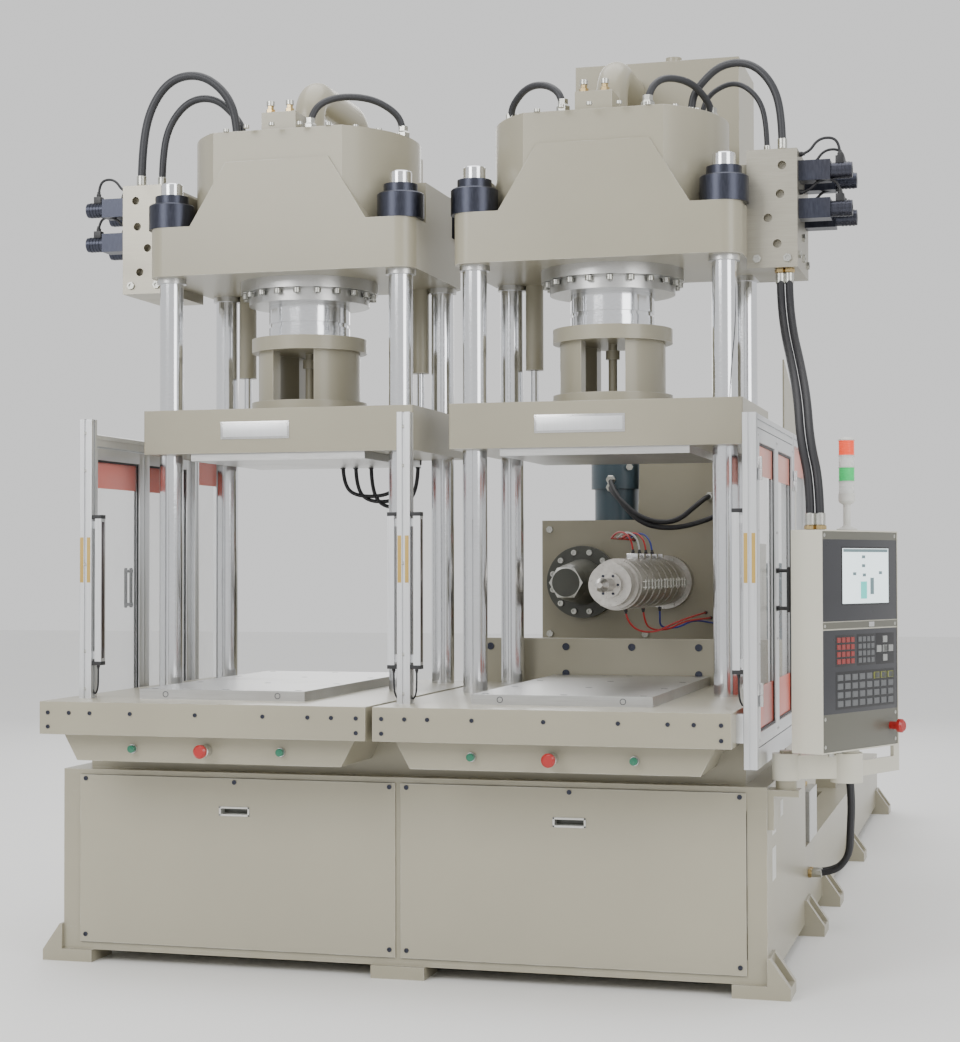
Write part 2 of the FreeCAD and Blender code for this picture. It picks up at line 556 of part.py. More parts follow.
def clampRams():
    for side, centre in stations:
        bottom = "drumTop-drumLid-pistonGap-pistonThick"
        ram = turned(side + "Ram", [("0", "couplingTop"), ("ramRadius", "couplingTop"),
                     ("ramRadius", "ramGrooveHeight"), ("ramRadius-ramGroove", "ramGrooveHeight"),
                     ("ramRadius-ramGroove", "ramGrooveHeight+ramGrooveTall"),
                     ("ramRadius", "ramGrooveHeight+ramGrooveTall"), ("ramRadius", bottom),
                     ("linerBore-slideClearance", bottom), ("linerBore-slideClearance",
                                                            bottom + "+pistonThick"),
                     ("0", bottom + "+pistonThick")], centre, "stationY", 0)
        rods = [rod("%sSideRod%s" % (side, place), centre + sx + "sideSpreadX", "stationY+barSpreadY",
                    "platenTop", "sideRodRadius", "sideTop-60-platenTop")
                for place, sx in (("A", "-"), ("B", "+"))]
        node(side + "_rams", group(side + "Rams", [ram] + rods))
    tubes = []
    for side, centre in stations:
        for place, sx in (("A", "-"), ("B", "+")):
            tube = turned("%sSideTube%s" % (side, place),
                          [("sideRodRadius+slideClearance", "sideBottom"), ("sideRadius", "sideBottom"),
                           ("sideRadius", "sideTop"), ("0", "sideTop"), ("0", "sideTop-30"),
                           ("sideBore", "sideTop-30"), ("sideBore", "sideBottom+30"),
                           ("sideRodRadius+slideClearance", "sideBottom+30")],
                          centre + sx + "sideSpreadX", "stationY+barSpreadY", 0)
            tubes.append(tube)
    node("side_cylinders", group("sideCylinders", tubes))


def couplings():
    for side, centre in stations:
        shell = turned(side + "Coupling", [("couplingBore", "platenTop"), ("couplingFlange", "platenTop"),
                       ("couplingFlange", "platenTop+couplingFoot"), ("couplingBody",
                                                                      "platenTop+couplingFoot"),
                       ("couplingBody", "couplingTop-couplingFlangeTall"),
                       ("couplingFlange", "couplingTop-couplingFlangeTall"), ("couplingFlange",
                                                                              "couplingTop"),
                       ("0", "couplingTop"), ("0", "couplingTop-couplingFlangeTall"),
                       ("couplingBore", "couplingTop-couplingFlangeTall")], centre, "stationY", 0)
        window = box(side + "Window", centre + "-windowWide/2", "stationY-couplingFlange-1",
                     "platenTop+couplingFoot", "windowWide", "2*couplingFlange+2",
                     "couplingTop-couplingFlangeTall-platenTop-couplingFoot")
        bolt = rod(side + "PullBolt", centre, "stationY", "platenTop", "boltRadius",
                   "couplingTop-couplingFlangeTall-platenTop")
        head = rod(side + "PullBoltHead", centre, "stationY",
                   "couplingTop-couplingFlangeTall-boltHeadTall-22",
                   "boltHeadRadius", "boltHeadTall")
        node(side + "_coupling", join(side + "CouplingWhole", [cut(side + "CouplingCut", shell, [window]),
                                                               bolt, head]))


def platens():
    for side, centre in stations:
        block = box(side + "PlatenBlock", centre + "-platenHalf", "stationY-platenHalfDepth", "platenBottom",
                    "2*platenHalf", "2*platenHalfDepth", "platenTop-platenBottom")
        block = rounded(side + "PlatenRound", block, size.platenEdge, upright)
        holes = [rod("%sPlatenHole%d" % (side, index), centre + sx + "barSpreadX",
                     "stationY" + sy + "barSpreadY",
                     "platenBottom-1", "barRadius+slideClearance", "platenTop-platenBottom+2")
                 for index, (sx, sy) in enumerate(corners)]
        node(side + "_platen", cut(side + "Platen", block, holes))
        plate = box(side + "UpperPlate", centre + "-upperPlateHalf",
                    "stationY-platenHalfDepth+upperPlateInset",
                    "platenBottom-upperPlateThick", "2*upperPlateHalf",
                    "2*(platenHalfDepth-upperPlateInset)", "upperPlateThick")
        node(side + "_upper_plate", plate)


def manifolds():
    blocks = []
    valves = []
    levels = ("manifoldTop-valveDrop", "manifoldTop-valveDrop-valveStep")
    rows = ("manifoldFront+valveInset", "manifoldRear-valveInset-valveWide")
    for side, centre, sign in (("left", "-stationPitch/2", "-"), ("right", "stationPitch/2", "+")):
        inner = "%s%sheadHalf" % (centre, sign)
        low = inner if sign == "+" else inner + "-manifoldWide"
        block = box(side + "ManifoldBlock", low, "manifoldFront", "manifoldBottom", "manifoldWide",
                    "manifoldRear-manifoldFront", "manifoldTop-manifoldBottom")
        ports = []
        for index, (across, up) in enumerate(((0.7, 0.86), (0.66, 0.62), (0.42, 0.42), (0.6, 0.2))):
            share = across if sign == "+" else 1 - across
            ports.append(rod("%sPort%d" % (side, index), "%s+%g*manifoldWide" % (low, share),
                             "manifoldFront-1",
                             "manifoldBottom+%g*(manifoldTop-manifoldBottom)" % up, "portRadius",
                             "portDeep+1", "Y"))
        blocks.append(cut(side + "Manifold", block, ports))
        outer = inner + sign + "manifoldWide"
        for level, height in enumerate(levels):
            for row, depth in enumerate(rows):
                name = "%sValve%d%d" % (side, level, row)
                body = box(name, outer if sign == "+" else outer + "-valveLong+coilLong",
                           depth, height, "valveLong-coilLong", "valveWide", "valveTall")
                coil = rod(name + "Coil", outer + sign + "(valveLong-coilLong-1)", depth + "+valveWide/2",
                           height + "+valveTall/2", "coilRadius", "coilLong", "X" if sign == "+" else "-X")
                valves.append(join(name + "Whole", [body, coil]))
    node("manifolds", group("manifoldPair", blocks))
    node("solenoid_valves", group("solenoidValves", valves))


def prefillPipes():
    # each pipe rises from the drum, bends and runs back:
    # into the tall tank on the right, down into the low one
    # on the left
    pipes = []
    back = size.stationY + size.headHalfDepth
    for side, centre in (("left", -size.stationPitch / 2), ("right", size.stationPitch / 2)):
        route = [(centre, size.stationY, size.drumTop), (centre, size.stationY, size.pipeHeight)]
        if side == "left":
            route += [(centre, back + size.tankDepth / 2, size.pipeHeight),
                      (centre, back + size.tankDepth / 2, size.leftTankTop)]
        else:
            route += [(centre, back, size.pipeHeight)]
        tube = bentTube(route, size.pipeRadius, size.pipeBend)
        flange = Part.makeCylinder(size.pipeFlange, size.pipeFlangeThick, FreeCAD.Vector(*route[0]))
        pipe = doc.addObject("Part::Feature", side + "Pipe")
        pipe.Shape = tube.fuse(flange)
        pipes.append(pipe)
    node("prefill_pipes", group("prefillPipes", pipes))
    tanks = []
    for side, centre, low, high, top in (("left", "-stationPitch/2", "tankLeft", "-tankLeft", "leftTankTop"),
                                         ("right", "stationPitch/2", "tankLeft", "tankRight", "tankTop")):
        tank = box(side + "TankBox", centre + "+" + low, "stationY+headHalfDepth", "tankBottom",
                   high + "-tankLeft", "tankDepth", top + "-tankBottom")
        shapes = [tank]
        if side == "right":
            shapes.append(rod(side + "Breather", centre + "+breatherAside",
                              "stationY+headHalfDepth+tankDepth/2",
                              top + "-1", "breatherRadius", "breatherTall+1"))
        tanks.append(join(side + "Tank", shapes) if len(shapes) > 1 else tank)
    node("prefill_tanks", group("prefillTanks", tanks))


def safetyPosts():
    posts = []
    curtains = []
    middles = (("left", "-stationPitch/2-tableHalf+postInset", "postY", (1,)), ("middle", "postAside",
                                                                                "postY", (-1, 1)),
               ("right", "guardFace-guardBar/2", "guardFront+guardBar/2", (-1,)))
    for place, x, y, sides in middles:
        if place != "right":
            posts.append(box(place + "Post", x + "-postWide/2", "postY-postWide/2", "tableTop", "postWide",
                             "postWide", "postTop-tableTop"))
        for sign in sides:
            far = "postWide/2" if place != "right" else "guardBar/2"
            low = "%s+%s" % (x, far) if sign > 0 else "%s-%s-curtainGap-curtainWide" % (x, far)
            bar = box("%sCurtain%d" % (place, sign + 1), low + ("+curtainGap" if sign > 0 else ""),
                      y + "-curtainDeep/2", "curtainBottom", "curtainWide", "curtainDeep",
                      "curtainTop-curtainBottom")
            tabLow = low if sign > 0 else "%s-%s-curtainGap" % (x, far)
            tabs = [box("%sTab%d%s" % (place, sign + 1, end), tabLow, y + "-curtainDeep/4", height,
                        "curtainGap",
                        "curtainDeep/2", "curtainTab")
                    for end, height in (("Low", "curtainBottom+20"), ("High", "curtainTop-20-curtainTab"))]
            curtains.append(join("%sCurtainWhole%d" % (place, sign + 1), [bar] + tabs))
    node("safety_posts", group("safetyPosts", posts))
    node("light_curtains", group("lightCurtains", curtains))


def guardSpan(side):
    # front edge of the front upright and of the upright behind the doors
    return ("guardFront", "guardMid") if side == "right" else ("leftGuardFront", "leftGuardMid")


def hinge(name, side, edge, toward, height):
    # half a knuckle on the door's axis, with the leaf that holds it to the upright or to the door
    pin = rod(name + "Knuckle", "%s(guardFace+hingeSeat)" % ("-" if side == "left" else ""), edge, height,
              "hingeRadius", "hingeTall")
    low = "guardFace" if side == "right" else "-guardFace-hingeSheet"
    start = edge if toward > 0 else edge + "-hingeLeaf"
    plate = box(name + "Plate", low, start, height, "hingeSheet", "hingeLeaf", "hingeTall")
    return join(name, [pin, plate])


def guardFrames():
    bars = []
    for side, low in (("left", "-guardFace"), ("right", "guardFace-guardBar")):
        front, mid = guardSpan(side)
        for place, y in (("Front", front), ("Middle", mid), ("Rear", "guardRear-guardBar")):
            bars.append(box(side + place + "Upright", low, y, "guardBottom", "guardBar", "guardBar",
                            "guardTop-guardBottom"))
        spans = (("Door", front + "+guardBar", "%s-%s-guardBar" % (mid, front)),
                 ("Fixed", mid + "+guardBar", "guardRear-%s-2*guardBar" % mid))
        for place, y, long in spans:
            bars.append(box(side + place + "TopRail", low, y, "guardTop-guardBar", "guardBar", long,
                            "guardBar"))
            bars.append(box(side + place + "Sill", low, y, "guardBottom", "guardBar", long,
                            "doorBottom-doorGap-guardBottom"))
        bars.append(box(side + "FixedPane", low + "+guardBar/2-paneThick/2", mid + "+guardBar",
                        "doorBottom-doorGap", "paneThick", "guardRear-%s-2*guardBar" % mid,
                        "guardTop-guardBar-doorBottom+doorGap"))
        for place, edge, toward in (("Front", front + "+guardBar", -1), ("Rear", mid, 1)):
            for level in ("Low", "High"):
                height = "hinge%s+hingeTall+hingeGap" % level
                bars.append(hinge(side + place + "Bracket" + level, side, edge, toward, height))
        spacer = "-guardFace+guardBar" if side == "left" else "stationPitch/2+tableHalf"
        wide = "guardFace-guardBar-stationPitch/2-tableHalf"
        for place, y in (("Front", front), ("Middle", mid)):
            bars.append(box(side + place + "Spacer", spacer, y, "tableBottom+spacerInset", wide, "guardBar",
                            "tableTop-tableBottom-2*spacerInset"))
    node("guard_frames", group("guardBars", bars))


def guardDoors():
    for side, face, sign in (("left", "-guardFace", -1), ("right", "guardFace", 1)):
        front, mid = guardSpan(side)
        half = "(%s-%s-guardBar)/2" % (mid, front)
        long = half + "-hingeGap-doorGap/2"
        low = face + "-doorThick" if sign > 0 else face
        tall = "guardTop-guardBar-doorGap-doorBottom"
        for place, y in (("front", front + "+guardBar+hingeGap"), ("rear",
                                                                   front + "+guardBar+%s+doorGap/2" % half)):
            name = "%s_%s_door" % (side, place)
            outer = box(name + "Slab", low, y, "doorBottom", "doorThick", long, tall)
            hole = box(name + "Hole", low + "-1", y + "+doorBar", "doorBottom+doorBar", "doorThick+2",
                       long + "-2*doorBar", tall + "-2*doorBar")
            frame = cut(name + "Frame", outer, [hole])
            pane = box(name + "Pane", low + "+(doorThick-paneThick)/2", y + "+doorBar", "doorBottom+doorBar",
                       "paneThick", long + "-2*doorBar", tall + "-2*doorBar")
            grip = y + ("+%s-doorBar/2" % long if place == "front" else "+doorBar/2")
            ends = (("Low", "-handleTall/2"), ("High", "+handleTall/2"))
            legs = [rod(name + "Leg" + end, face, grip, "handleHeight" + shift, "handleLeg", "handleProud+2",
                        "X" if sign > 0 else "-X") for end, shift in ends]
            bar = rod(name + "Grip", face + ("+handleProud" if sign > 0 else "-handleProud"), grip,
                      "handleHeight-handleTall/2-handleRadius", "handleRadius", "handleTall+2*handleRadius")
            handle = join(name + "Handle", legs + [bar])
            edge, toward = (front + "+guardBar", 1) if place == "front" else (mid, -1)
            leaves = [hinge(name + "Leaf" + level, side, edge, toward,
                            "hinge" + level) for level in ("Low", "High")]
            node(name, group(name + "Parts", [frame, pane, handle] + leaves))


def injectionUnit():
    parts = []
    for place, low in (("left", "injectionX-bedHalf+bedInset"), ("right",
                                                                 "injectionX+bedHalf-bedInset-bedCheek")):
        parts.append(box(place + "Cheek", low, "tableRear+slideGap", "rearBaseTop", "bedCheek",
                         "bedRear-tableRear-slideGap", "bedTop-rearBaseTop"))
        parts.append(box(place + "GuideRail", low + "+bedCheek/2-railHalf", "bedFront+beamThick", "bedTop",
                         "2*railHalf", "bedRear-bedFront-beamThick", "railTall"))
    parts.append(box("bedBeam", "injectionX-bedHalf", "bedFront", "tableTop", "2*bedHalf", "beamThick",
                     "beamTop-tableTop"))
    parts.append(box("bedStay", "injectionX-bedHalf+bedInset+bedCheek", "tableRear+slideGap", "rearBaseTop",
                     "2*(bedHalf-bedInset-bedCheek)", "beamThick", "tableTop-rearBaseTop"))
    node("injection_bed", group("injectionBed", parts))

    shoe = "bedTop+railTall+carriageGap"
    plate = padded("carriagePlateBody", "XZ_Plane",
                   [("carriageLeft", shoe), ("carriageLeft", "carriageTall"), ("towerLeft-8", "carriageTall"),
                    ("towerLeft", "carriageTower"), ("carriageRight", "carriageTower"), ("carriageRight",
                                                                                         shoe)],
                   "carriagePlate", "injectionX", "carriageFront", 0)
    deck = box("carriageDeck", "injectionX-bedHalf+bedInset", "carriageFront+carriagePlate", shoe,
               "2*(bedHalf-bedInset)", "carriageLong-carriagePlate", "deckTall")
    webs = [box("carriageWeb" + place, low, "carriageFront+carriagePlate", shoe + "+deckTall", "webThick",
                "carriageLong-carriagePlate", "webTop-bedTop-railTall-carriageGap-deckTall")
            for place, low in (("Left", "injectionX-webInset-webThick"), ("Right", "injectionX+webInset"))]
    block = join("carriageBlock", [plate, deck] + webs)
    seat = rod("barrelSeat", "injectionX", "carriageFront-1", "injectionZ", "screwBore",
               "carriagePlate+2", "Y")
    node("carriage", cut("carriageWhole", block, [seat]))

    reach = "carriageFront-%s"
    node("barrel", turned("barrelBody",
                          [("screwBore", "0"), ("barrelFlange", "0"), ("barrelFlange", "barrelFlangeThick"),
                           ("barrelRadius", "barrelFlangeThick"), ("barrelRadius", reach % "barrelFront"),
                           ("heaterRadius", reach % "barrelFront"), ("heaterRadius", reach % "heaterFront"),
                           ("nozzleRing", reach % "heaterFront"), ("nozzleRing", reach % "nozzleRingFront"),
                           ("nozzleRadius", reach % "nozzleRingFront"), ("nozzleRadius",
                                                                         reach % "(nozzleTip+40)"),
                           ("nozzleTipRadius", reach % "nozzleTip"), ("0", reach % "nozzleTip"),
                           ("0", reach % "heaterFront"), ("screwBore", reach % "heaterFront")],
                          "injectionX", "carriageFront", "injectionZ", "-Y"))
    node("screw", rod("screwBody", "injectionX", "heaterFront+3", "injectionZ", "screwRadius",
                      "driveFront-heaterFront-3", "Y"))
    housing = box("driveHousing", "injectionX-driveHalf", "driveFront", "injectionZ-driveHalf", "2*driveHalf",
                  "driveLong", "2*driveHalf")
    motor = rod("driveMotor", "injectionX", "driveFront+driveLong-1", "injectionZ", "motorRadius",
                "motorLong", "Y")
    guide = box("driveFoot", "injectionX-driveHalf", "driveFront", shoe + "+deckTall+carriageGap",
                "2*driveHalf",
                "driveLong", "injectionZ-driveHalf-bedTop-railTall-deckTall-2*carriageGap+1")
    node("screw_drive", join("screwDrive", [housing, motor, guide]))

    node("plasticiser", turned("plasticiserBody",
                               [("0", "0"), ("plasticFlange", "0"), ("plasticFlange", "plasticFlangeThick"),
                                ("plasticCover+20", "plasticFlangeThick"), ("plasticCover",
                                                                            "plasticReach-60"),
                                ("plasticCover-16", "plasticReach"), ("0", "plasticReach")],
                               "injectionX+plasticX", "carriageFront", "injectionZ", "-Y"))
    node("feed_motor", turned("feedMotorBody",
                              [("0", "0"), ("feedRadius", "0"), ("feedRadius", "feedTall/2"),
                               ("feedCap", "feedTall/2"), ("feedCap", "feedTall-20"), ("feedCap-30",
                                                                                       "feedTall"),
                               ("0", "feedTall")],
                              "injectionX+feedX", "carriageFront+carriagePlate/2+60", "carriageTall", "Z"))


def rearSupply():
    tank = box("oilTankBox", "oilTankLeft", "oilTankFront", "rearBaseTop", "oilTankRight-oilTankLeft",
               "oilTankRear-oilTankFront", "oilTankTop-rearBaseTop")
    node("oil_tank", tank)
    middle = "(oilTankLeft+oilTankRight)/2"
    shell = rod("pumpShell", middle, "oilTankFront+motorSet", "motorHeight", "motorShellRadius",
                "motorShellLong",
                "Y")
    pump = rod("pumpBody", middle, "oilTankFront+motorSet+motorShellLong", "motorHeight", "pumpRadius",
               "pumpLong",
               "Y")
    saddle = box("pumpSaddle", middle + "-motorShellRadius*0.8", "oilTankFront+saddleSet", "oilTankTop",
                 "motorShellRadius*1.6", "saddleLong", "motorHeight-oilTankTop-motorShellRadius*0.5")
    node("pump_motor", join("pumpMotor", [shell, pump, saddle]))
    node("control_cabinet", box("controlCabinet", "cupboardLeft", "cupboardFront", "rearBaseTop",
                                "cupboardRight-cupboardLeft", "cupboardRear-cupboardFront",
                                "cupboardTop-rearBaseTop"))
    node("side_screen", padded("sideScreen", "YZ_Plane",
                               [("guardRear+screenSet", "rearBaseTop"), ("guardRear+screenSet", "screenTop"),
                                ("screenShoulderY", "screenShoulder"), ("screenRearY", "screenRearTop"),
                                ("screenRearY", "rearBaseTop")],
                               "screenThick", "cabinetHalf-blockWide-screenThick", 0, 0))
    node("valve_block", box("valveBlock", "cabinetHalf-blockWide", "blockY-blockLong/2", "rearBaseTop",
                            "blockWide", "blockLong", "blockTall"))


def pendantArm():
    reachX = size.bossX - size.armPivotX
    reachY = size.bossY - size.armPivotY
    middle = "armTop-armThick"
    hub = rod("armHubRing", "armPivotX", "armPivotY", middle, "armHub", "armThick")
    boss = rod("armBoss", "bossX", "bossY", "bossBottom", "bossRadius", "armTop-bossBottom")
    beam = doc.addObject("Part::Box", "armBeam")
    beam.Length = math.hypot(reachX, reachY)
    bind(beam, "Width", "armWide")
    bind(beam, "Height", "armThick-10")
    heading = math.degrees(math.atan2(reachY, reachX))
    turnZ = FreeCAD.Rotation(FreeCAD.Vector(0, 0, 1), heading)
    corner = turnZ.multVec(FreeCAD.Vector(0, -size.armWide / 2, 0))
    beam.Placement = FreeCAD.Placement(FreeCAD.Vector(size.armPivotX + corner.x, size.armPivotY + corner.y,
                                                      size.armTop - size.armThick + 5), turnZ)
    bores = [rod("armPinBore", "armPivotX", "armPivotY", "bossBottom", "armPinRadius+slideClearance",
                 "armTop-bossBottom+20"),
             rod("armSpigotBore", "bossX", "bossY", "bossBottom-1", "spigotRadius+slideClearance",
                 "armTop-bossBottom+2")]
    node("pendant_arm", cut("pendantArm", join("armWhole", [hub, boss, beam]), bores))


def inPendant(item, across, inward, height):
    # places an item in the pendant's own frame: across its face, inward from it, and up from the floor
    turnZ = FreeCAD.Rotation(FreeCAD.Vector(0, 0, 1), size.pendantTurn)
    local = FreeCAD.Vector(across - size.pendantWide / 2, inward - size.pendantDeep / 2, 0)
    spot = turnZ.multVec(local)
    base = FreeCAD.Vector(size.bossX + spot.x, size.bossY + spot.y, height)
    item.Placement = FreeCAD.Placement(base, turnZ.multiply(item.Placement.Rotation))
    return item


def plainBox(name, long, wide, tall):
    item = doc.addObject("Part::Box", name)
    for prop, expression in (("Length", long), ("Width", wide), ("Height", tall)):
        bind(item, prop, expression)
    return item


def pendant():
    # a folded case, open towards the operator, closed by a face panel, with a grab handle and a swivel spigot
    wall = size.pendantWall
    low = size.pendantBottom
    outer = inPendant(plainBox("pendantOuter", "pendantWide", "pendantDeep", "pendantTall"), 0, 0, low)
    inner = inPendant(plainBox("pendantInner", "pendantWide-2*pendantWall", "pendantDeep",
                               "pendantTall-2*pendantWall"), wall, -wall, low + wall)
    stopHeight = low + size.stopUp
    case = cut("pendantCase", outer, [inner])
    face = inPendant(plainBox("pendantFaceSheet", "pendantWide-2*pendantWall", "pendantWall",
                              "pendantTall-2*pendantWall"), wall, size.faceInset, low + wall)
    hole = doc.addObject("Part::Cylinder", "pendantStopHole")
    bind(hole, "Radius", "stopStemRadius+bezelGap")
    bind(hole, "Height", "3*pendantWall")
    turn(hole, "Y")
    inPendant(hole, size.stopAcross, size.faceInset - wall, stopHeight)
    facePanel = cut("pendantFace", face, [hole])
    neck = turned("pendantNeck", [("0", "armTop-spigotLong"), ("spigotRadius", "armTop-spigotLong"),
                  ("spigotRadius", "armTop+slideGap"), ("neckRadius", "armTop+slideGap"),
                  ("neckRadius", "pendantBottom"), ("0", "pendantBottom")], "bossX", "bossY", 0)
    lowest = size.handleLow
    handle = doc.addObject("PartDesign::Body", "grabHandle")
    sketch = sketchOn(handle, "XZ_Plane", "grabOutline")
    outline(sketch, [("pendantWide/2+bossRadius+bossGap", "0"), ("pendantWide+grabReach", "0"),
                     ("pendantWide+grabReach", "grabTall"), ("pendantWide", "grabTall"),
                     ("pendantWide", "grabTall-grabTop"), ("pendantWide+grabReach-grabRiser",
                                                           "grabTall-grabTop"),
                     ("pendantWide+grabReach-grabRiser", "grabBottom"),
                     ("pendantWide/2+bossRadius+bossGap", "grabBottom")])
    pad = handle.newObject("PartDesign::Pad", "grabPad")
    pad.Profile = sketch
    bind(pad, "Length", "grabThick")
    pad.Reversed = True
    inPendant(handle, 0, size.pendantDeep / 2 - size.grabThick / 2, lowest)
    strap = inPendant(plainBox("grabStrap", "grabThick", "grabThick", "pendantBottom-handleLow"),
                      size.pendantWide / 2 + size.bossRadius + size.bossGap,
                      size.pendantDeep / 2 - size.grabThick / 2, lowest)
    grab = join("grabWhole", [handle, strap])
    node("pendant", group("pendantParts", [case, facePanel, neck, grab]))
    stop = turned("pendantStopBody", [("0", "-stopInside"), ("stopStemRadius", "-stopInside"),
                  ("stopStemRadius", "stopProud-stopCapThick"), ("stopCapRadius", "stopProud-stopCapThick"),
                  ("stopCapRadius", "stopProud-6"), ("stopCapRadius-6", "stopProud"), ("0", "stopProud")],
                  0, 0, 0, "-Y")
    for axis in "xyz":
        stop.setExpression("Placement.Base." + axis, None)
    node("pendant_stop", inPendant(stop, size.stopAcross, size.faceInset, stopHeight))
    light = turned("stackLightBody", [("0", "0"), ("stackRadius+6", "0"), ("stackRadius+6", "14"),
                   ("stackRadius/2", "22"), ("stackRadius/2", "stackStem"), ("stackRadius", "stackStem+6"),
                   ("stackRadius", "stackTall-8"), ("stackRadius-8", "stackTall"), ("0", "stackTall")],
                   0, 0, 0)
    for axis in "xyz":
        light.setExpression("Placement.Base." + axis, None)
    node("stack_light", inPendant(light, size.pendantWide / 2 + 10, size.pendantDeep / 2,
                                  low + size.pendantTall))


def cableLanding():
    # where the cable bundle meets the top of the pendant
    spot = FreeCAD.Rotation(FreeCAD.Vector(0, 0, 1), size.pendantTurn).multVec(
        FreeCAD.Vector(size.cableAcross - size.pendantWide / 2, size.cableInward - size.pendantDeep / 2, 0))
    return FreeCAD.Vector(size.bossX + spot.x, size.bossY + spot.y,
                          size.pendantBottom + size.pendantTall + size.slideGap)


def hoses():
    # hydraulic hoses keep the same ends as the manifolds, drums and valve block that they join
    outer = size.stationPitch / 2 + size.headHalf + size.manifoldWide / 2
    top = size.manifoldTop
    left = -outer
    drum = size.drumTop
    block = size.cabinetHalf - size.blockWide
    blockTop = size.rearBaseTop + size.blockTall
    sets = {
        "top_hoses": [
            (15, [(left - 46, 600, top), (left - 46, 600, 2780), (left - 20, 606, 2940), (left + 56, 616,
                                                                                          3048),
                  (left + 168, 628, 3064), (left + 262, 640, 2996), (left + 304, 650, 2890),
                  (left + 304, 650, drum)]),
            (13, [(left + 16, 640, top), (left + 16, 640, 2770), (left + 40, 646, 2892), (left + 116, 656,
                                                                                          2980),
                  (left + 216, 668, 2982), (left + 296, 684, 2900), (left + 312, 690, 2850),
                  (left + 312, 690, drum)]),
            (13, [(outer + 26, 600, top), (outer + 26, 600, 2756), (outer + 2, 606, 2876), (outer - 74,
                                                                                            620, 2964),
                  (outer - 180, 636, 2972), (outer - 262, 650, 2902), (outer - 286, 656, 2850),
                  (outer - 286, 656, drum)]),
            (9, [(outer - 36, 700, top), (outer - 36, 700, 2764), (outer - 62, 706, 2866), (outer - 140,
                                                                                            716, 2930),
                 (outer - 224, 724, 2902), (outer - 262, 730, 2846), (outer - 262, 730, drum)]),
        ],
        "base_hoses": [
            (12, [(block + 42, y + 240, blockTop), (block + 42, y + 240, blockTop + 82),
                  (block + 97, y + 178, blockTop + 165), (block + 176, y + 91, blockTop + 165),
                  (block + 231, y + 30, blockTop + 82), (block + 241, y + 14, blockTop - 28),
                  (block + 237, y + 3, blockTop - 130), (block + 233, y, blockTop - 221),
                  (block + 173, y, blockTop - 280), (block + 90, y, blockTop - 280)])
            for y in (1160, 1204)],
    }
    landing = cableLanding()
    sets["pendant_cable"] = [
        (size.cableRadius, [(outer + 50 + x, 560, size.manifoldBottom), (outer + 50 + x, 560, 2170),
                            (outer + 74 + x, 456, 2040), (outer + 112 + x, 300, 1930), (outer + 150 + x,
                                                                                        130, 1800),
                            (outer + 172 + x, 0, 1660), (landing.x + x, landing.y, 1530),
                            (landing.x + x, landing.y, landing.z)])
        for x in (0, -size.cableApart)]
    for label, runs in sets.items():
        pieces = []
        for number, (radius, route) in enumerate(runs):
            piece = doc.addObject("Part::Feature", "%s%d" % (label, number))
            piece.Shape = bentTube(route, radius)
            pieces.append(piece)
        node(label, group(label + "Set", pieces))


for build in (frontCabinet, rearBase, machineFeet, frontPanels, tables, buttonBoxes, pushButtons, tieBars,
              crossheads, clampRams, couplings, platens, manifolds, prefillPipes, safetyPosts, guardFrames,
              guardDoors, injectionUnit, rearSupply, pendantArm, pendant, hoses):
    build()
    print("modelled", build.__name__)

doc.recompute()
broken = [item.Label for item in doc.Objects if "Invalid" in item.State or "Error" in item.State]
if broken:
    raise RuntimeError("these did not build: " + ", ".join(broken))
os.makedirs("parts", exist_ok=True)
for item in nodes:
    if item.Shape.isNull() or not item.Shape.isValid():
        raise RuntimeError(item.Label + " has no valid shape")
for item in nodes:
    item.Shape.exportStep(os.path.join("parts", item.Label + ".step"))
print("%d nodes written" % len(nodes))
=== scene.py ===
import json
import math
import bmesh
import bpy
import numpy as np
from mathutils import Matrix, Vector


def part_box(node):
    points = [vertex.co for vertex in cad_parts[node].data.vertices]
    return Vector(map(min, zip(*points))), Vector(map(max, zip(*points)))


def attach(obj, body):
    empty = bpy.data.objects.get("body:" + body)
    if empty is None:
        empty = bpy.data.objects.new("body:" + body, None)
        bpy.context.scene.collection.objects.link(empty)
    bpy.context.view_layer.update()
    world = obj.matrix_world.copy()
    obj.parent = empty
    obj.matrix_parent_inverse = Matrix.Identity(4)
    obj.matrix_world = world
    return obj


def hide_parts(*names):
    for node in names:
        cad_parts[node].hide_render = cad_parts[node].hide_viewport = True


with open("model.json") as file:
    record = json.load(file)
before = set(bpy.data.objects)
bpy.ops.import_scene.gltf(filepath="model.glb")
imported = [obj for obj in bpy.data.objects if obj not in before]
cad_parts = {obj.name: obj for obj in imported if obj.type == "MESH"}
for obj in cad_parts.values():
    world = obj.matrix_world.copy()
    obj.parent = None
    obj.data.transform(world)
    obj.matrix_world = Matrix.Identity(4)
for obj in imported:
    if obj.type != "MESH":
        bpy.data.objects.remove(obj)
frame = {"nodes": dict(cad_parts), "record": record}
for spare in ("Cube", "Light", "Camera"):
    if spare in bpy.data.objects:
        bpy.data.objects.remove(bpy.data.objects[spare])
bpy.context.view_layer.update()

# camera, floor and light
view = {"spot": (1.8864, -5.9052, 1.2934), "yaw": 0.2676, "pitch": 0.0224, "roll": -0.002, "lens": 73.84}
eye = bpy.data.objects.new("camera", bpy.data.cameras.new("camera"))
bpy.context.collection.objects.link(eye)
eye.data.lens = view["lens"]
eye.data.sensor_width = 36
eye.data.sensor_fit = "HORIZONTAL"
eye.data.clip_end = 60
eye.location = view["spot"]
eye.matrix_world = (Matrix.Translation(view["spot"]) @ Matrix.Rotation(view["yaw"], 4,
    "Z") @ Matrix.Rotation(math.pi / 2 + view["pitch"], 4, "X") @ Matrix.Rotation(view["roll"], 4, "Z"))
bpy.context.scene.camera = eye

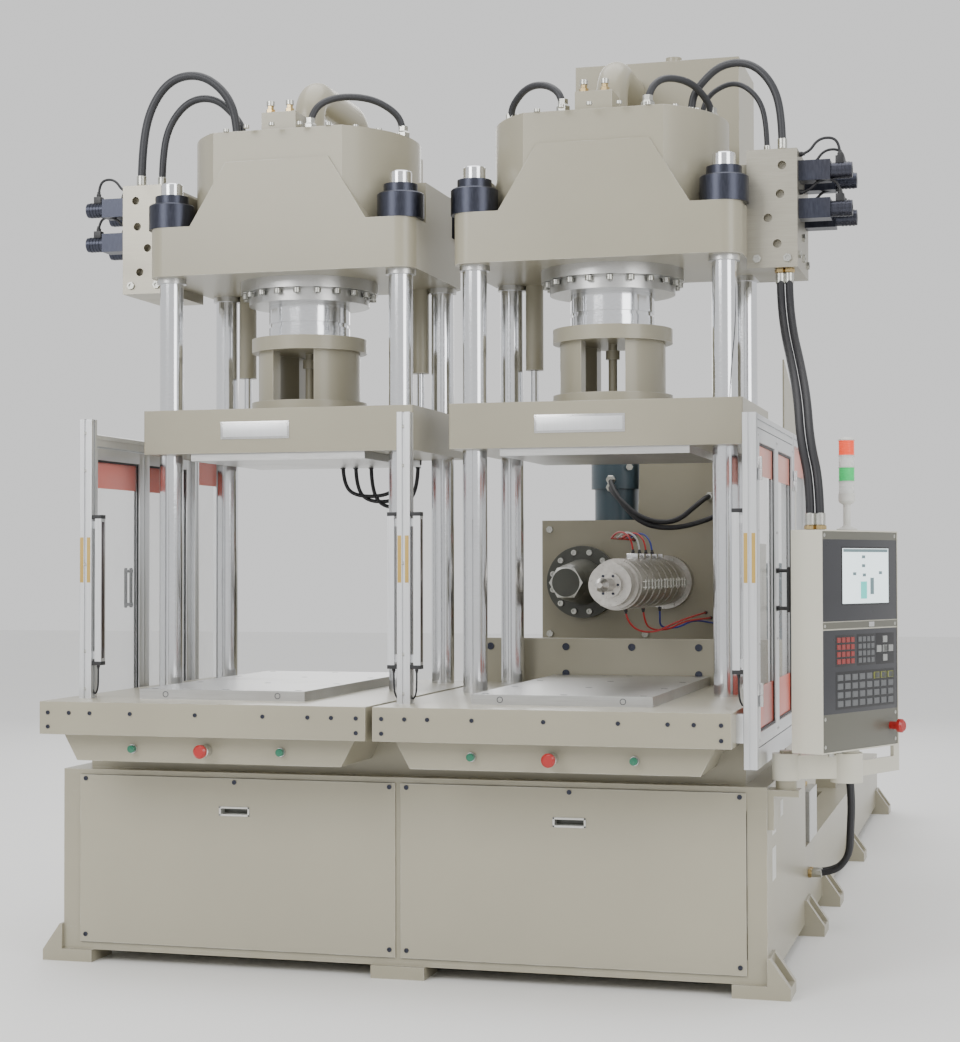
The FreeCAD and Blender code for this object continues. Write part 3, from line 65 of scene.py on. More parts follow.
stage = {"floor": 30.0, "floorTone": (0.86, 0.86, 0.85), "world": 0.95, "lamps": [("keyLight", (-3.5, -6.5,
    5.5), 4.0, 360), ("fillLight", (6.5, -4.0, 4.0), 4.0, 190), ("topLight", (0.0, 1.0, 6.5), 5.0, 200),
    ("backLight", (-2.0, 8.5, 4.5), 4.0, 160)]}


def lampAt(name, spot, wide, power):
    lamp = bpy.data.objects.new(name, bpy.data.lights.new(name, "AREA"))
    bpy.context.collection.objects.link(lamp)
    lamp.data.size = wide
    lamp.data.energy = power
    aim = Vector((0, 0.8, 1.2)) - Vector(spot)
    lamp.matrix_world = Matrix.Translation(spot) @ aim.to_track_quat("-Z", "Y").to_matrix().to_4x4()


for lampSet in stage["lamps"]:
    lampAt(*lampSet)
world = bpy.data.worlds.new("softWorld")
bpy.context.scene.world = world
world.use_nodes = True
world.node_tree.nodes["Background"].inputs["Color"].default_value = (1.0, 1.0, 1.0, 1.0)
world.node_tree.nodes["Background"].inputs["Strength"].default_value = stage["world"]
print("stage ready")


# shader node groups
def shaderGroup(name, inputs, outputs):
    group = bpy.data.node_groups.new(name, "ShaderNodeTree")
    for label, value in inputs:
        socket = group.interface.new_socket(name=label, in_out="INPUT", socket_type="NodeSocketFloat")
        socket.default_value = value
    for label in outputs:
        group.interface.new_socket(name=label, in_out="OUTPUT", socket_type="NodeSocketFloat")
    return group, group.nodes.new("NodeGroupInput"), group.nodes.new("NodeGroupOutput")


def mathNode(tree, operation, first, second=None, clamp=False):
    node = tree.nodes.new("ShaderNodeMath")
    node.operation = operation
    node.use_clamp = clamp
    for socket, value in zip(node.inputs, (first, second)):
        if value is None:
            continue
        if isinstance(value, (int, float)):
            socket.default_value = value
        else:
            tree.links.new(value, socket)
    return node.outputs[0]


def noiseNode(tree, scale, detail, vector):
    node = tree.nodes.new("ShaderNodeTexNoise")
    node.inputs["Detail"].default_value = detail
    if isinstance(scale, (int, float)):
        node.inputs["Scale"].default_value = scale
    else:
        tree.links.new(scale, node.inputs["Scale"])
    tree.links.new(vector, node.inputs["Vector"])
    return node.outputs["Fac"]


def makeSurfaceGrain():
    # slow patches in Tone, fine relief in Height
    group, given, result = shaderGroup("surfaceGrain", [("Patch Scale", 2.0), ("Grain Scale", 260.0)],
        ["Tone", "Height"])
    place = group.nodes.new("ShaderNodeTexCoord").outputs["Object"]
    group.links.new(noiseNode(group, given.outputs["Patch Scale"], 5.0, place), result.inputs["Tone"])
    group.links.new(noiseNode(group, given.outputs["Grain Scale"], 3.0, place), result.inputs["Height"])
    return group


def makeEdgeWear():
    # picks out rubbed edges, broken up by noise
    group, given, result = shaderGroup("edgeWear", [("Width", 0.004), ("Gain", 3.0)], ["Mask"])
    bevel = group.nodes.new("ShaderNodeBevel")
    bevel.samples = 3
    group.links.new(given.outputs["Width"], bevel.inputs["Radius"])
    flat = group.nodes.new("ShaderNodeNewGeometry")
    dot = group.nodes.new("ShaderNodeVectorMath")
    dot.operation = "DOT_PRODUCT"
    group.links.new(bevel.outputs["Normal"], dot.inputs[0])
    group.links.new(flat.outputs["Normal"], dot.inputs[1])
    edge = mathNode(group, "MULTIPLY", mathNode(group, "SUBTRACT", 1.0, dot.outputs["Value"]),
        given.outputs["Gain"])
    place = group.nodes.new("ShaderNodeTexCoord").outputs["Object"]
    broken = mathNode(group, "SUBTRACT", noiseNode(group, 14.0, 6.0, place), 0.42)
    mask = mathNode(group, "MULTIPLY", edge, mathNode(group, "MULTIPLY", broken, 4.0, True), True)
    group.links.new(mask, result.inputs["Mask"])
    return group


def makeSettledDust():
    # gathers on faces that look up
    group, given, result = shaderGroup("settledDust", [("Amount", 0.4)], ["Mask"])
    flat = group.nodes.new("ShaderNodeNewGeometry")
    parts = group.nodes.new("ShaderNodeSeparateXYZ")
    group.links.new(flat.outputs["Normal"], parts.inputs[0])
    place = group.nodes.new("ShaderNodeTexCoord").outputs["Object"]
    upward = mathNode(group, "SUBTRACT", parts.outputs["Z"], 0.55, True)
    spread = mathNode(group, "MULTIPLY", noiseNode(group, 6.0, 6.0, place), given.outputs["Amount"])
    group.links.new(mathNode(group, "MULTIPLY", mathNode(group, "MULTIPLY", upward, 2.0), spread, True),
        result.inputs["Mask"])
    return group


def makeBrushedLines():
    # fine lines that run along one axis, set by the stretch in each direction
    group, given, result = shaderGroup("brushedLines", [("Across X", 400.0), ("Across Y", 400.0),
        ("Across Z", 8.0)], ["Tone", "Height"])
    place = group.nodes.new("ShaderNodeTexCoord").outputs["Object"]
    stretch = group.nodes.new("ShaderNodeCombineXYZ")
    for axis in "XYZ":
        group.links.new(given.outputs["Across " + axis], stretch.inputs[axis])
    scaled = group.nodes.new("ShaderNodeVectorMath")
    scaled.operation = "MULTIPLY"
    group.links.new(place, scaled.inputs[0])
    group.links.new(stretch.outputs[0], scaled.inputs[1])
    lines = noiseNode(group, 1.0, 4.0, scaled.outputs[0])
    group.links.new(lines, result.inputs["Height"])
    group.links.new(lines, result.inputs["Tone"])
    return group


surfaceGrain = makeSurfaceGrain()
edgeWear = makeEdgeWear()
settledDust = makeSettledDust()
brushedLines = makeBrushedLines()
print("shader groups ready")


# materials
def startMaterial(name):
    material = bpy.data.materials.new(name)
    material.use_nodes = True
    tree = material.node_tree
    return material, tree, tree.nodes["Principled BSDF"]


def addGroup(tree, group, values=None):
    node = tree.nodes.new("ShaderNodeGroup")
    node.node_tree = group
    for label, value in (values or {}).items():
        node.inputs[label].default_value = value
    return node


def mixColour(tree, factor, first, second):
    node = tree.nodes.new("ShaderNodeMix")
    node.data_type = "RGBA"
    for socket, value in ((node.inputs[6], first), (node.inputs[7], second)):
        if isinstance(value, tuple):
            socket.default_value = (*value, 1.0)
        else:
            tree.links.new(value, socket)
    tree.links.new(factor, node.inputs[0])
    return node.outputs[2]


def bumpInto(tree, shader, height, strength, distance):
    bump = tree.nodes.new("ShaderNodeBump")
    bump.inputs["Strength"].default_value = strength
    bump.inputs["Distance"].default_value = distance
    tree.links.new(height, bump.inputs["Height"])
    tree.links.new(bump.outputs[0], shader.inputs["Normal"])


def paint(name, colour, rough=0.38, coat=0.25, wear=(0.62, 0.60, 0.54), dust=0.3, grain=260.0, relief=0.10,
        width=0.004, shade=0.86):
    # enamel or powder coat: patches of tone, rubbed edges, settled dust and orange peel
    material, tree, shader = startMaterial(name)
    peel = addGroup(tree, surfaceGrain, {"Patch Scale": 1.7, "Grain Scale": grain})
    rubbed = addGroup(tree, edgeWear, {"Width": width, "Gain": 2.6})
    dusty = addGroup(tree, settledDust, {"Amount": dust})
    tone = mathNode(tree, "MULTIPLY", mathNode(tree, "SUBTRACT", peel.outputs["Tone"], 0.35), 2.2, True)
    base = mixColour(tree, tone, tuple(part * shade for part in colour), colour)
    base = mixColour(tree, dusty.outputs["Mask"], base, (0.50, 0.48, 0.43))
    base = mixColour(tree, rubbed.outputs["Mask"], base, wear)
    tree.links.new(base, shader.inputs["Base Color"])
    rougher = mathNode(tree, "MULTIPLY", tone, 0.10)
    tree.links.new(mathNode(tree, "ADD", mathNode(tree, "ADD", rougher, rough - 0.05), mathNode(tree,
        "MULTIPLY", dusty.outputs["Mask"], 0.4), True), shader.inputs["Roughness"])
    shader.inputs["Coat Weight"].default_value = coat
    shader.inputs["Coat Roughness"].default_value = 0.18
    bumpInto(tree, shader, peel.outputs["Height"], relief, 0.0008)
    return material


def metal(name, colour, dull, rough=0.28, across=(400.0, 400.0, 8.0), relief=0.06, stain=(0.20, 0.17, 0.14),
        stained=0.25):
    # ground, brushed or plated metal with fine lines and faint handling stains
    material, tree, shader = startMaterial(name)
    lines = addGroup(tree, brushedLines, {"Across X": across[0], "Across Y": across[1],
        "Across Z": across[2]})
    patches = addGroup(tree, surfaceGrain, {"Patch Scale": 3.5, "Grain Scale": 90.0})
    base = mixColour(tree, lines.outputs["Tone"], dull, colour)
    marks = mathNode(tree, "MULTIPLY", mathNode(tree, "SUBTRACT", patches.outputs["Tone"], 0.52, True),
        4.0 * stained, True)
    base = mixColour(tree, marks, base, stain)
    tree.links.new(base, shader.inputs["Base Color"])
    shader.inputs["Metallic"].default_value = 1.0
    spread = mathNode(tree, "MULTIPLY", mathNode(tree, "SUBTRACT", lines.outputs["Tone"], 0.5), 0.22)
    tree.links.new(mathNode(tree, "ADD", mathNode(tree, "ADD", spread, rough), mathNode(tree, "MULTIPLY",
        marks, 0.3), True), shader.inputs["Roughness"])
    bumpInto(tree, shader, lines.outputs["Height"], relief, 0.0003)
    return material


def plastic(name, colour, rough=0.42, grain=900.0, relief=0.12, shade=0.8, coat=0.0):
    # moulded plastic or rubber with a fine spark texture
    material, tree, shader = startMaterial(name)
    skin = addGroup(tree, surfaceGrain, {"Patch Scale": 22.0, "Grain Scale": grain})
    rubbed = addGroup(tree, edgeWear, {"Width": 0.0012, "Gain": 1.2})
    base = mixColour(tree, skin.outputs["Tone"], tuple(part * shade for part in colour), colour)
    base = mixColour(tree, rubbed.outputs["Mask"], base, tuple(min(1.0,
        part * 1.7 + 0.02) for part in colour))
    tree.links.new(base, shader.inputs["Base Color"])
    tree.links.new(mathNode(tree, "ADD", mathNode(tree, "MULTIPLY", skin.outputs["Tone"], 0.12),
        rough - 0.06, True), shader.inputs["Roughness"])
    shader.inputs["Coat Weight"].default_value = coat
    bumpInto(tree, shader, skin.outputs["Height"], relief, 0.0003)
    return material


def clearSheet(name, tint, weight, alpha):
    # polycarbonate with faint smears
    material, tree, shader = startMaterial(name)
    smear = addGroup(tree, surfaceGrain, {"Patch Scale": 5.0, "Grain Scale": 60.0})
    tree.links.new(mixColour(tree, smear.outputs["Tone"], tint, tuple(part * 0.96 for part in tint)),
        shader.inputs["Base Color"])
    tree.links.new(mathNode(tree, "MULTIPLY", smear.outputs["Tone"], 0.14), shader.inputs["Roughness"])
    tree.links.new(mathNode(tree, "ADD", mathNode(tree, "MULTIPLY", smear.outputs["Tone"], 0.10), alpha),
        shader.inputs["Alpha"])
    shader.inputs["Transmission Weight"].default_value = weight
    shader.inputs["Metallic"].default_value = 0.0
    shader.inputs["IOR"].default_value = 1.45
    return material


def lit(name, colour, strength, rough=0.3):
    # a lamp lens or display: its own light over a slightly uneven surface
    material, tree, shader = startMaterial(name)
    uneven = addGroup(tree, surfaceGrain, {"Patch Scale": 16.0, "Grain Scale": 300.0})
    base = mixColour(tree, uneven.outputs["Tone"], tuple(part * 0.9 for part in colour), colour)
    tree.links.new(base, shader.inputs["Base Color"])
    tree.links.new(base, shader.inputs["Emission Color"])
    shader.inputs["Emission Strength"].default_value = strength
    shader.inputs["Roughness"].default_value = rough
    bumpInto(tree, shader, uneven.outputs["Height"], 0.05, 0.0003)
    return material


finish = {
    "machinePaint": paint("machinePaint", (0.365, 0.338, 0.252)),
    "panelPaint": paint("panelPaint", (0.385, 0.358, 0.272), rough=0.42, dust=0.15, shade=0.92),
    "darkPaint": paint("darkPaint", (0.085, 0.088, 0.072), wear=(0.2, 0.2, 0.18), rough=0.42),
    "creamPaint": paint("creamPaint", (0.62, 0.60, 0.50), rough=0.36, dust=0.1, shade=0.94, width=0.002),
    "oliveSheet": paint("oliveSheet", (0.13, 0.128, 0.10), rough=0.45, wear=(0.3, 0.3, 0.26), dust=0.1,
        width=0.002),
    "orangeSheet": paint("orangeSheet", (0.78, 0.085, 0.028), rough=0.34, wear=(0.85, 0.3, 0.2), dust=0.1,
        shade=0.9),
    "pinkSheet": paint("pinkSheet", (0.72, 0.24, 0.17), rough=0.34, wear=(0.85, 0.5, 0.4), dust=0.1,
        shade=0.92),
    "motorPaint": paint("motorPaint", (0.05, 0.085, 0.11), rough=0.4, wear=(0.2, 0.24, 0.27)),
    "hardChrome": metal("hardChrome", (0.80, 0.81, 0.83), (0.66, 0.67, 0.69), rough=0.13, across=(60.0,
        60.0, 500.0), relief=0.02, stained=0.08),
    "groundSteel": metal("groundSteel", (0.66, 0.66, 0.65), (0.48, 0.48, 0.47), rough=0.33, across=(12.0,
        420.0, 420.0)),
    "darkSteel": metal("darkSteel", (0.075, 0.08, 0.105), (0.035, 0.037, 0.05), rough=0.36, across=(200.0,
        200.0, 40.0), stained=0.1),
    "cylinderSteel": metal("cylinderSteel", (0.40, 0.41, 0.40), (0.26, 0.27, 0.26), rough=0.34,
        across=(60.0, 60.0, 500.0)),
    "manifoldSteel": metal("manifoldSteel", (0.46, 0.44, 0.37), (0.33, 0.31, 0.26), rough=0.42,
        across=(14.0, 14.0, 380.0)),
    "heaterSteel": metal("heaterSteel", (0.62, 0.60, 0.56), (0.40, 0.38, 0.35), rough=0.30, across=(80.0,
        500.0, 80.0)),
    "guardAluminium": metal("guardAluminium", (0.80, 0.81, 0.82), (0.66, 0.67, 0.68), rough=0.38,
        across=(500.0, 500.0, 6.0), relief=0.03, stained=0.06),
    "bezelMetal": metal("bezelMetal", (0.78, 0.78, 0.78), (0.6, 0.6, 0.6), rough=0.2, across=(200.0, 40.0,
        200.0), stained=0.05),
    "brass": metal("brass", (0.66, 0.50, 0.25), (0.42, 0.31, 0.15), rough=0.3, across=(300.0, 300.0, 30.0),
        stained=0.15),
    "zincPlate": metal("zincPlate", (0.62, 0.62, 0.58), (0.44, 0.44, 0.40), rough=0.3, across=(300.0, 300.0,
        30.0), stained=0.1),
    "blackPlastic": plastic("blackPlastic", (0.022, 0.022, 0.024)),
    "blackRubber": plastic("blackRubber", (0.016, 0.016, 0.019), rough=0.5, grain=700.0, relief=0.35),
    "braidedHose": plastic("braidedHose", (0.030, 0.031, 0.036), rough=0.46, grain=420.0, relief=0.5),
    "charcoalFace": plastic("charcoalFace", (0.026, 0.027, 0.033), rough=0.3, coat=0.2),
    "greenPlastic": plastic("greenPlastic", (0.012, 0.16, 0.085), rough=0.28, coat=0.3),
    "redPlastic": plastic("redPlastic", (0.42, 0.014, 0.012), rough=0.28, coat=0.3),
    "whitePlastic": plastic("whitePlastic", (0.70, 0.70, 0.66), rough=0.4),
    "greyKey": plastic("greyKey", (0.13, 0.135, 0.14), rough=0.4),
    "paleKey": plastic("paleKey", (0.34, 0.35, 0.34), rough=0.4),
    "redKey": plastic("redKey", (0.30, 0.045, 0.04), rough=0.4),
    "limeKey": plastic("limeKey", (0.28, 0.30, 0.06), rough=0.4),
    "tanLabel": plastic("tanLabel", (0.52, 0.34, 0.08), rough=0.45),
    "redWire": plastic("redWire", (0.50, 0.02, 0.02), rough=0.4),
    "blueWire": plastic("blueWire", (0.03, 0.05, 0.32), rough=0.4),
    "paleWire": plastic("paleWire", (0.55, 0.56, 0.55), rough=0.4),
    "clearPane": clearSheet("clearPane", (0.93, 0.95, 0.96), 0.0, 0.10),
    "lensStrip": plastic("lensStrip", (0.02, 0.006, 0.008), rough=0.12, relief=0.02, coat=0.6),
    "displayGlow": lit("displayGlow", (0.80, 0.92, 0.95), 1.0),
    "tealGlow": lit("tealGlow", (0.10, 0.62, 0.55), 0.6),
    "displayInk": lit("displayInk", (0.16, 0.24, 0.26), 0.15),
    "redLens": lit("redLens", (0.85, 0.10, 0.04), 0.45),
    "clearLens": clearSheet("clearLens", (0.92, 0.93, 0.90), 0.0, 0.62),
    "greenLens": lit("greenLens", (0.03, 0.55, 0.16), 0.35),
}
slotFinish = {
    "machine_paint": "machinePaint", "dark_paint": "darkPaint", "panel_paint": "panelPaint",
    "ground_steel": "groundSteel",
    "hard_chrome": "hardChrome", "dark_steel": "darkSteel", "cylinder_steel": "cylinderSteel",
    "guard_aluminium": "guardAluminium", "white_plastic": "whitePlastic", "green_plastic": "greenPlastic",
    "red_plastic": "redPlastic", "bezel_metal": "bezelMetal", "black_rubber": "blackRubber",
    "cream_paint": "creamPaint",
    "motor_paint": "motorPaint", "heater_steel": "heaterSteel", "black_plastic": "blackPlastic",
}
nodeSlot = {part["node"]: part["material_slot"] for part in frame["record"]["subparts"]}
for nodeName, nodeObject in frame["nodes"].items():
    for materialSlot in nodeObject.material_slots:
        materialSlot.material = finish[slotFinish[nodeSlot[nodeName]]]
frame["nodes"]["manifolds"].material_slots[0].material = finish["manifoldSteel"]
bodyOf = {}
for bodyName, members in frame["record"]["behaviour"]["bodies"].items():
    for member in members:
        bodyOf[member] = bodyName
print("materials ready:", len(finish))


# making pieces
def startBench(*names):
    return {"mesh": bmesh.new(), "names": list(names)}


def pour(bench, part, paintName, place=None):
    # adds a small finished shape to the bench under one material
    if paintName not in bench["names"]:
        bench["names"].append(paintName)
    number = bench["names"].index(paintName)
    for face in part.faces:
        face.material_index = number
    bmesh.ops.recalc_face_normals(part, faces=part.faces)
    if place is not None:
        bmesh.ops.transform(part, matrix=place, verts=part.verts)
    scrap = bpy.data.meshes.new("scrap")
    part.to_mesh(scrap)
    part.free()
    bench["mesh"].from_mesh(scrap)
    bpy.data.meshes.remove(scrap)


def addBlock(bench, low, high, paintName, edge=0.0015, place=None):
    part = bmesh.new()
    bmesh.ops.create_cube(part, size=1.0)
    low, high = Vector(low), Vector(high)
    for vert in part.verts:
        vert.co = Vector((low[k] + (high[k] - low[k]) * (vert.co[k] + 0.5) for k in range(3)))
    edge = min(edge, 0.45 * min(high[k] - low[k] for k in range(3)))
    if edge > 0:
        bmesh.ops.bevel(part, geom=part.edges[:], offset=edge, segments=2, profile=0.7, affect="EDGES")
    pour(bench, part, paintName, place)


def axisPlace(spot, axis):
    return Matrix.Translation(spot) @ Vector(axis).to_track_quat("Z", "Y").to_matrix().to_4x4()


def addTurned(bench, spot, axis, profile, paintName, sides=32):
    # a half section of radius and height, turned about an axis; ends are closed
    part = bmesh.new()
    rings = []
    for radius, height in profile:
        if radius < 1e-6:
            rings.append([part.verts.new((0, 0, height))])
        else:
            rings.append([part.verts.new((radius * math.cos(2 * math.pi * k / sides),
                radius * math.sin(2 * math.pi * k / sides), height)) for k in range(sides)])
    for lower, upper in zip(rings, rings[1:]):
        for k in range(sides):
            follow = (k + 1) % sides
            if len(lower) == 1 and len(upper) == 1:
                continue
            if len(lower) == 1:
                part.faces.new((lower[0], upper[k], upper[follow]))
            elif len(upper) == 1:
                part.faces.new((lower[k], lower[follow], upper[0]))
            else:
                part.faces.new((lower[k], lower[follow], upper[follow], upper[k]))
    for ring in (rings[0], rings[-1]):
        if len(ring) > 1:
            part.faces.new(ring)
    pour(bench, part, paintName, axisPlace(spot, axis))


def addRod(bench, start, end, radius, paintName, sides=24, edge=0.0008):
    along = Vector(end) - Vector(start)
    long = along.length
    edge = min(edge, radius * 0.4, long * 0.3)
    addTurned(bench, start, along, [(0, 0), (radius - edge, 0), (radius, edge), (radius, long - edge),
        (radius - edge, long), (0, long)], paintName, sides)


def addPrism(bench, outline, origin, sideways, upwards, depth, paintName, edge=0.0):
    # an outline drawn in the plane of two directions and pushed along their normal
    sideways, upwards = Vector(sideways).normalized(), Vector(upwards).normalized()
    outward = sideways.cross(upwards)
    part = bmesh.new()
    corners = [Vector(origin) + sideways * a + upwards * b for a, b in outline]
    near = [part.verts.new(corner) for corner in corners]
    far = [part.verts.new(corner + outward * depth) for corner in corners]
    part.faces.new(near)
    part.faces.new(far[::-1])
    for k in range(len(near)):
        follow = (k + 1) % len(near)
        part.faces.new((near[k], far[k], far[follow], near[follow]))
    if edge > 0:
        bmesh.ops.bevel(part, geom=part.edges[:], offset=edge, segments=1, affect="EDGES")
    pour(bench, part, paintName)


def smoothLine(route, steps=10):
    # the route's own smooth spline as plain points
    data = bpy.data.curves.new("line", "CURVE")
    data.dimensions = "3D"
    data.resolution_u = steps
    spline = data.splines.new("NURBS")
    spline.points.add(len(route) - 1)
    for point, spot in zip(spline.points, route):
        point.co = (*spot, 1.0)
    spline.order_u = 3
    spline.use_endpoint_u = True
    holder = bpy.data.objects.new("line", data)
    mesh = bpy.data.meshes.new_from_object(holder)
    points = [vert.co.copy() for vert in mesh.vertices]
    bpy.data.objects.remove(holder)
    bpy.data.meshes.remove(mesh)
    return points


def finishBench(bench, name, body, place=None, replaced=()):
    mesh = bpy.data.meshes.new(name)
    bench["mesh"].to_mesh(mesh)
    bench["mesh"].free()
    for paintName in bench["names"]:
        mesh.materials.append(finish[paintName])
    return settle(mesh, name, body, place, replaced)


def settle(mesh, name, body, place=None, replaced=()):
    if place is not None:
        mesh.transform(place)
    mesh.polygons.foreach_set("use_smooth", [True] * len(mesh.polygons))
    mesh.set_sharp_from_angle(angle=math.radians(32))
    piece = bpy.data.objects.new(name, mesh)
    bpy.context.collection.objects.link(piece)
    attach(piece, body)
    if replaced:
        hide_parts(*replaced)
    return piece


def shells(nodeName):
    # lowest and highest corners of every separate solid in a node
    mesh = frame["nodes"][nodeName].data
    spots = np.empty(len(mesh.vertices) * 3)
    mesh.vertices.foreach_get("co", spots)
    spots = spots.reshape(-1, 3)
    keys = {}
    label = [keys.setdefault(tuple(row), len(keys)) for row in np.round(spots * 20000).astype(int)]
    parent = list(range(len(keys)))

    def root(item):
        while parent[item] != item:
            parent[item] = parent[parent[item]]
            item = parent[item]
        return item

    for polygon in mesh.polygons:
        first = root(label[polygon.vertices[0]])
        for vertex in polygon.vertices[1:]:
            parent[root(label[vertex])] = first
            first = root(first)
    groups = {}
    for index, row in enumerate(spots):
        groups.setdefault(root(label[index]), []).append(row)
    found = [(np.min(rows, axis=0), np.max(rows, axis=0)) for rows in groups.values()]
    return sorted(found, key=lambda pair: tuple(np.round(pair[0], 3)))


# geometry nodes for repeats
def startTree(name, inputs):
    tree = bpy.data.node_groups.new(name, "GeometryNodeTree")
    tree.interface.new_socket(name="Geometry", in_out="OUTPUT", socket_type="NodeSocketGeometry")
    for label, kind in inputs:
        tree.interface.new_socket(name=label, in_out="INPUT", socket_type="NodeSocket" + kind)
    return tree, tree.nodes.new("NodeGroupInput").outputs, tree.nodes.new("NodeGroupOutput")


def step(tree, kind, wires, settings=None):
    node = tree.nodes.new(kind)
    for key, value in (settings or {}).items():
        setattr(node, key, value)
    for label, value in wires.items():
        socket = node.inputs[label]
        if isinstance(value, bpy.types.NodeSocket):
            tree.links.new(value, socket)
        else:
            socket.default_value = value
    return node


def closeTree(tree, result, given, geometry):
    real = step(tree, "GeometryNodeRealizeInstances", {"Geometry": geometry})
    coated = step(tree, "GeometryNodeSetMaterial", {"Geometry": real.outputs[0], "Material": given["Finish"]})
    tree.links.new(coated.outputs[0], result.inputs[0])
    return tree


def treeMath(tree, operation, first, second):
    return step(tree, "ShaderNodeMath", {0: first, 1: second}, {"operation": operation}).outputs[0]


def fastenerTree():
    # a head with any number of sides and a sunk recess, on every point and facing outwards
    tree, given, result = startTree("fasteners", [("Points", "Geometry"), ("Sides", "Int"), ("Radius",
        "Float"), ("Height", "Float"), ("Recess", "Float"), ("Depth", "Float"), ("Seed", "Int"), ("Finish",
        "Material")])
    head = step(tree, "GeometryNodeMeshCylinder", {"Vertices": given["Sides"], "Radius": given["Radius"],
        "Depth": given["Height"]})
    lift = step(tree, "ShaderNodeCombineXYZ", {"Z": treeMath(tree, "MULTIPLY", given["Height"], 0.5)})
    raised = step(tree, "GeometryNodeTransform", {"Geometry": head.outputs["Mesh"],
        "Translation": lift.outputs[0]})
    rim = step(tree, "GeometryNodeExtrudeMesh", {"Mesh": raised.outputs[0],
        "Selection": head.outputs["Top"], "Offset Scale": 0.0, "Individual": False})
    drawn = step(tree, "GeometryNodeScaleElements", {"Geometry": rim.outputs["Mesh"],
        "Selection": rim.outputs["Top"], "Scale": given["Recess"]})
    sunk = step(tree, "GeometryNodeExtrudeMesh", {"Mesh": drawn.outputs[0], "Selection": rim.outputs["Top"],
        "Offset Scale": treeMath(tree, "MULTIPLY", given["Depth"], -1.0), "Individual": False})
    facing = step(tree, "GeometryNodeInputNamedAttribute", {"Name": "facing"}, {"data_type": "FLOAT_VECTOR"})
    aimed = step(tree, "FunctionNodeAlignRotationToVector", {"Vector": facing.outputs[0]}, {"axis": "Z"})
    placed = step(tree, "GeometryNodeInstanceOnPoints", {"Points": given["Points"],
        "Instance": sunk.outputs["Mesh"], "Rotation": aimed.outputs[0]})
    chance = step(tree, "FunctionNodeRandomValue", {"Seed": given["Seed"]}, {"data_type": "FLOAT"})
    chance.inputs[3].default_value = 6.28
    spun = step(tree, "ShaderNodeCombineXYZ", {"Z": chance.outputs[1]})
    turnedAbout = step(tree, "GeometryNodeRotateInstances", {"Instances": placed.outputs[0],
        "Rotation": spun.outputs[0]})
    return closeTree(tree, result, given, turnedAbout.outputs[0])


def keyTree():
    # rows and columns of keys with drawn-in tops
    tree, given, result = startTree("keyField", [("Columns", "Int"), ("Rows", "Int"), ("Pitch X", "Float"),
        ("Pitch Y", "Float"), ("Key Wide", "Float"), ("Key Tall", "Float"), ("Key Thick", "Float"),
        ("Finish", "Material")])
    spans = [treeMath(tree, "MULTIPLY", treeMath(tree, "SUBTRACT", given[count], 1.0),
        given[pitch]) for count, pitch in (("Columns", "Pitch X"), ("Rows", "Pitch Y"))]
    grid = step(tree, "GeometryNodeMeshGrid", {"Size X": spans[0], "Size Y": spans[1],
        "Vertices X": given["Columns"], "Vertices Y": given["Rows"]})
    extent = step(tree, "ShaderNodeCombineXYZ", {"X": given["Key Wide"], "Y": given["Key Tall"],
        "Z": given["Key Thick"]})
    cube = step(tree, "GeometryNodeMeshCube", {"Size": extent.outputs[0]})
    normal = step(tree, "GeometryNodeInputNormal", {})
    parts = step(tree, "ShaderNodeSeparateXYZ", {0: normal.outputs[0]})
    top = step(tree, "FunctionNodeCompare", {0: parts.outputs["Z"], 1: 0.5}, {"operation": "GREATER_THAN"})
    drawn = step(tree, "GeometryNodeScaleElements", {"Geometry": cube.outputs[0],
        "Selection": top.outputs[0], "Scale": 0.84})
    placed = step(tree, "GeometryNodeInstanceOnPoints", {"Points": grid.outputs[0],
        "Instance": drawn.outputs[0]})
    return closeTree(tree, result, given, placed.outputs[0])


def ringTree():
    # square-section rings spaced along Z
    tree, given, result = startTree("ringRow", [("Count", "Int"), ("Spacing", "Float"), ("Radius", "Float"),
        ("Wide", "Float"), ("Thick", "Float"), ("Finish", "Material")])
    hoop = step(tree, "GeometryNodeCurvePrimitiveCircle", {"Resolution": 56, "Radius": given["Radius"]})
    section = step(tree, "GeometryNodeCurvePrimitiveQuadrilateral", {"Width": given["Thick"],
        "Height": given["Wide"]})
    ring = step(tree, "GeometryNodeCurveToMesh", {"Curve": hoop.outputs[0],
        "Profile Curve": section.outputs[0]})
    apart = step(tree, "ShaderNodeCombineXYZ", {"Z": given["Spacing"]})
    line = step(tree, "GeometryNodeMeshLine", {"Count": given["Count"], "Offset": apart.outputs[0]})
    placed = step(tree, "GeometryNodeInstanceOnPoints", {"Points": line.outputs[0],
        "Instance": ring.outputs[0]})
    return closeTree(tree, result, given, placed.outputs[0])


def finTree():
    # cooling fins that stand out around a motor's shell, along Z
    tree, given, result = startTree("finCrown", [("Count", "Int"), ("Radius", "Float"), ("Deep", "Float"),
        ("Thick", "Float"), ("Long", "Float"), ("Finish", "Material")])
    hoop = step(tree, "GeometryNodeMeshCircle", {"Vertices": given["Count"], "Radius": given["Radius"]})
    extent = step(tree, "ShaderNodeCombineXYZ", {"X": given["Deep"], "Y": given["Thick"], "Z": given["Long"]})
    fin = step(tree, "GeometryNodeMeshCube", {"Size": extent.outputs[0]})
    spot = step(tree, "GeometryNodeInputPosition", {})
    aimed = step(tree, "FunctionNodeAlignRotationToVector", {"Vector": spot.outputs[0]}, {"axis": "X"})
    placed = step(tree, "GeometryNodeInstanceOnPoints", {"Points": hoop.outputs[0],
        "Instance": fin.outputs[0], "Rotation": aimed.outputs[0]})
    return closeTree(tree, result, given, placed.outputs[0])


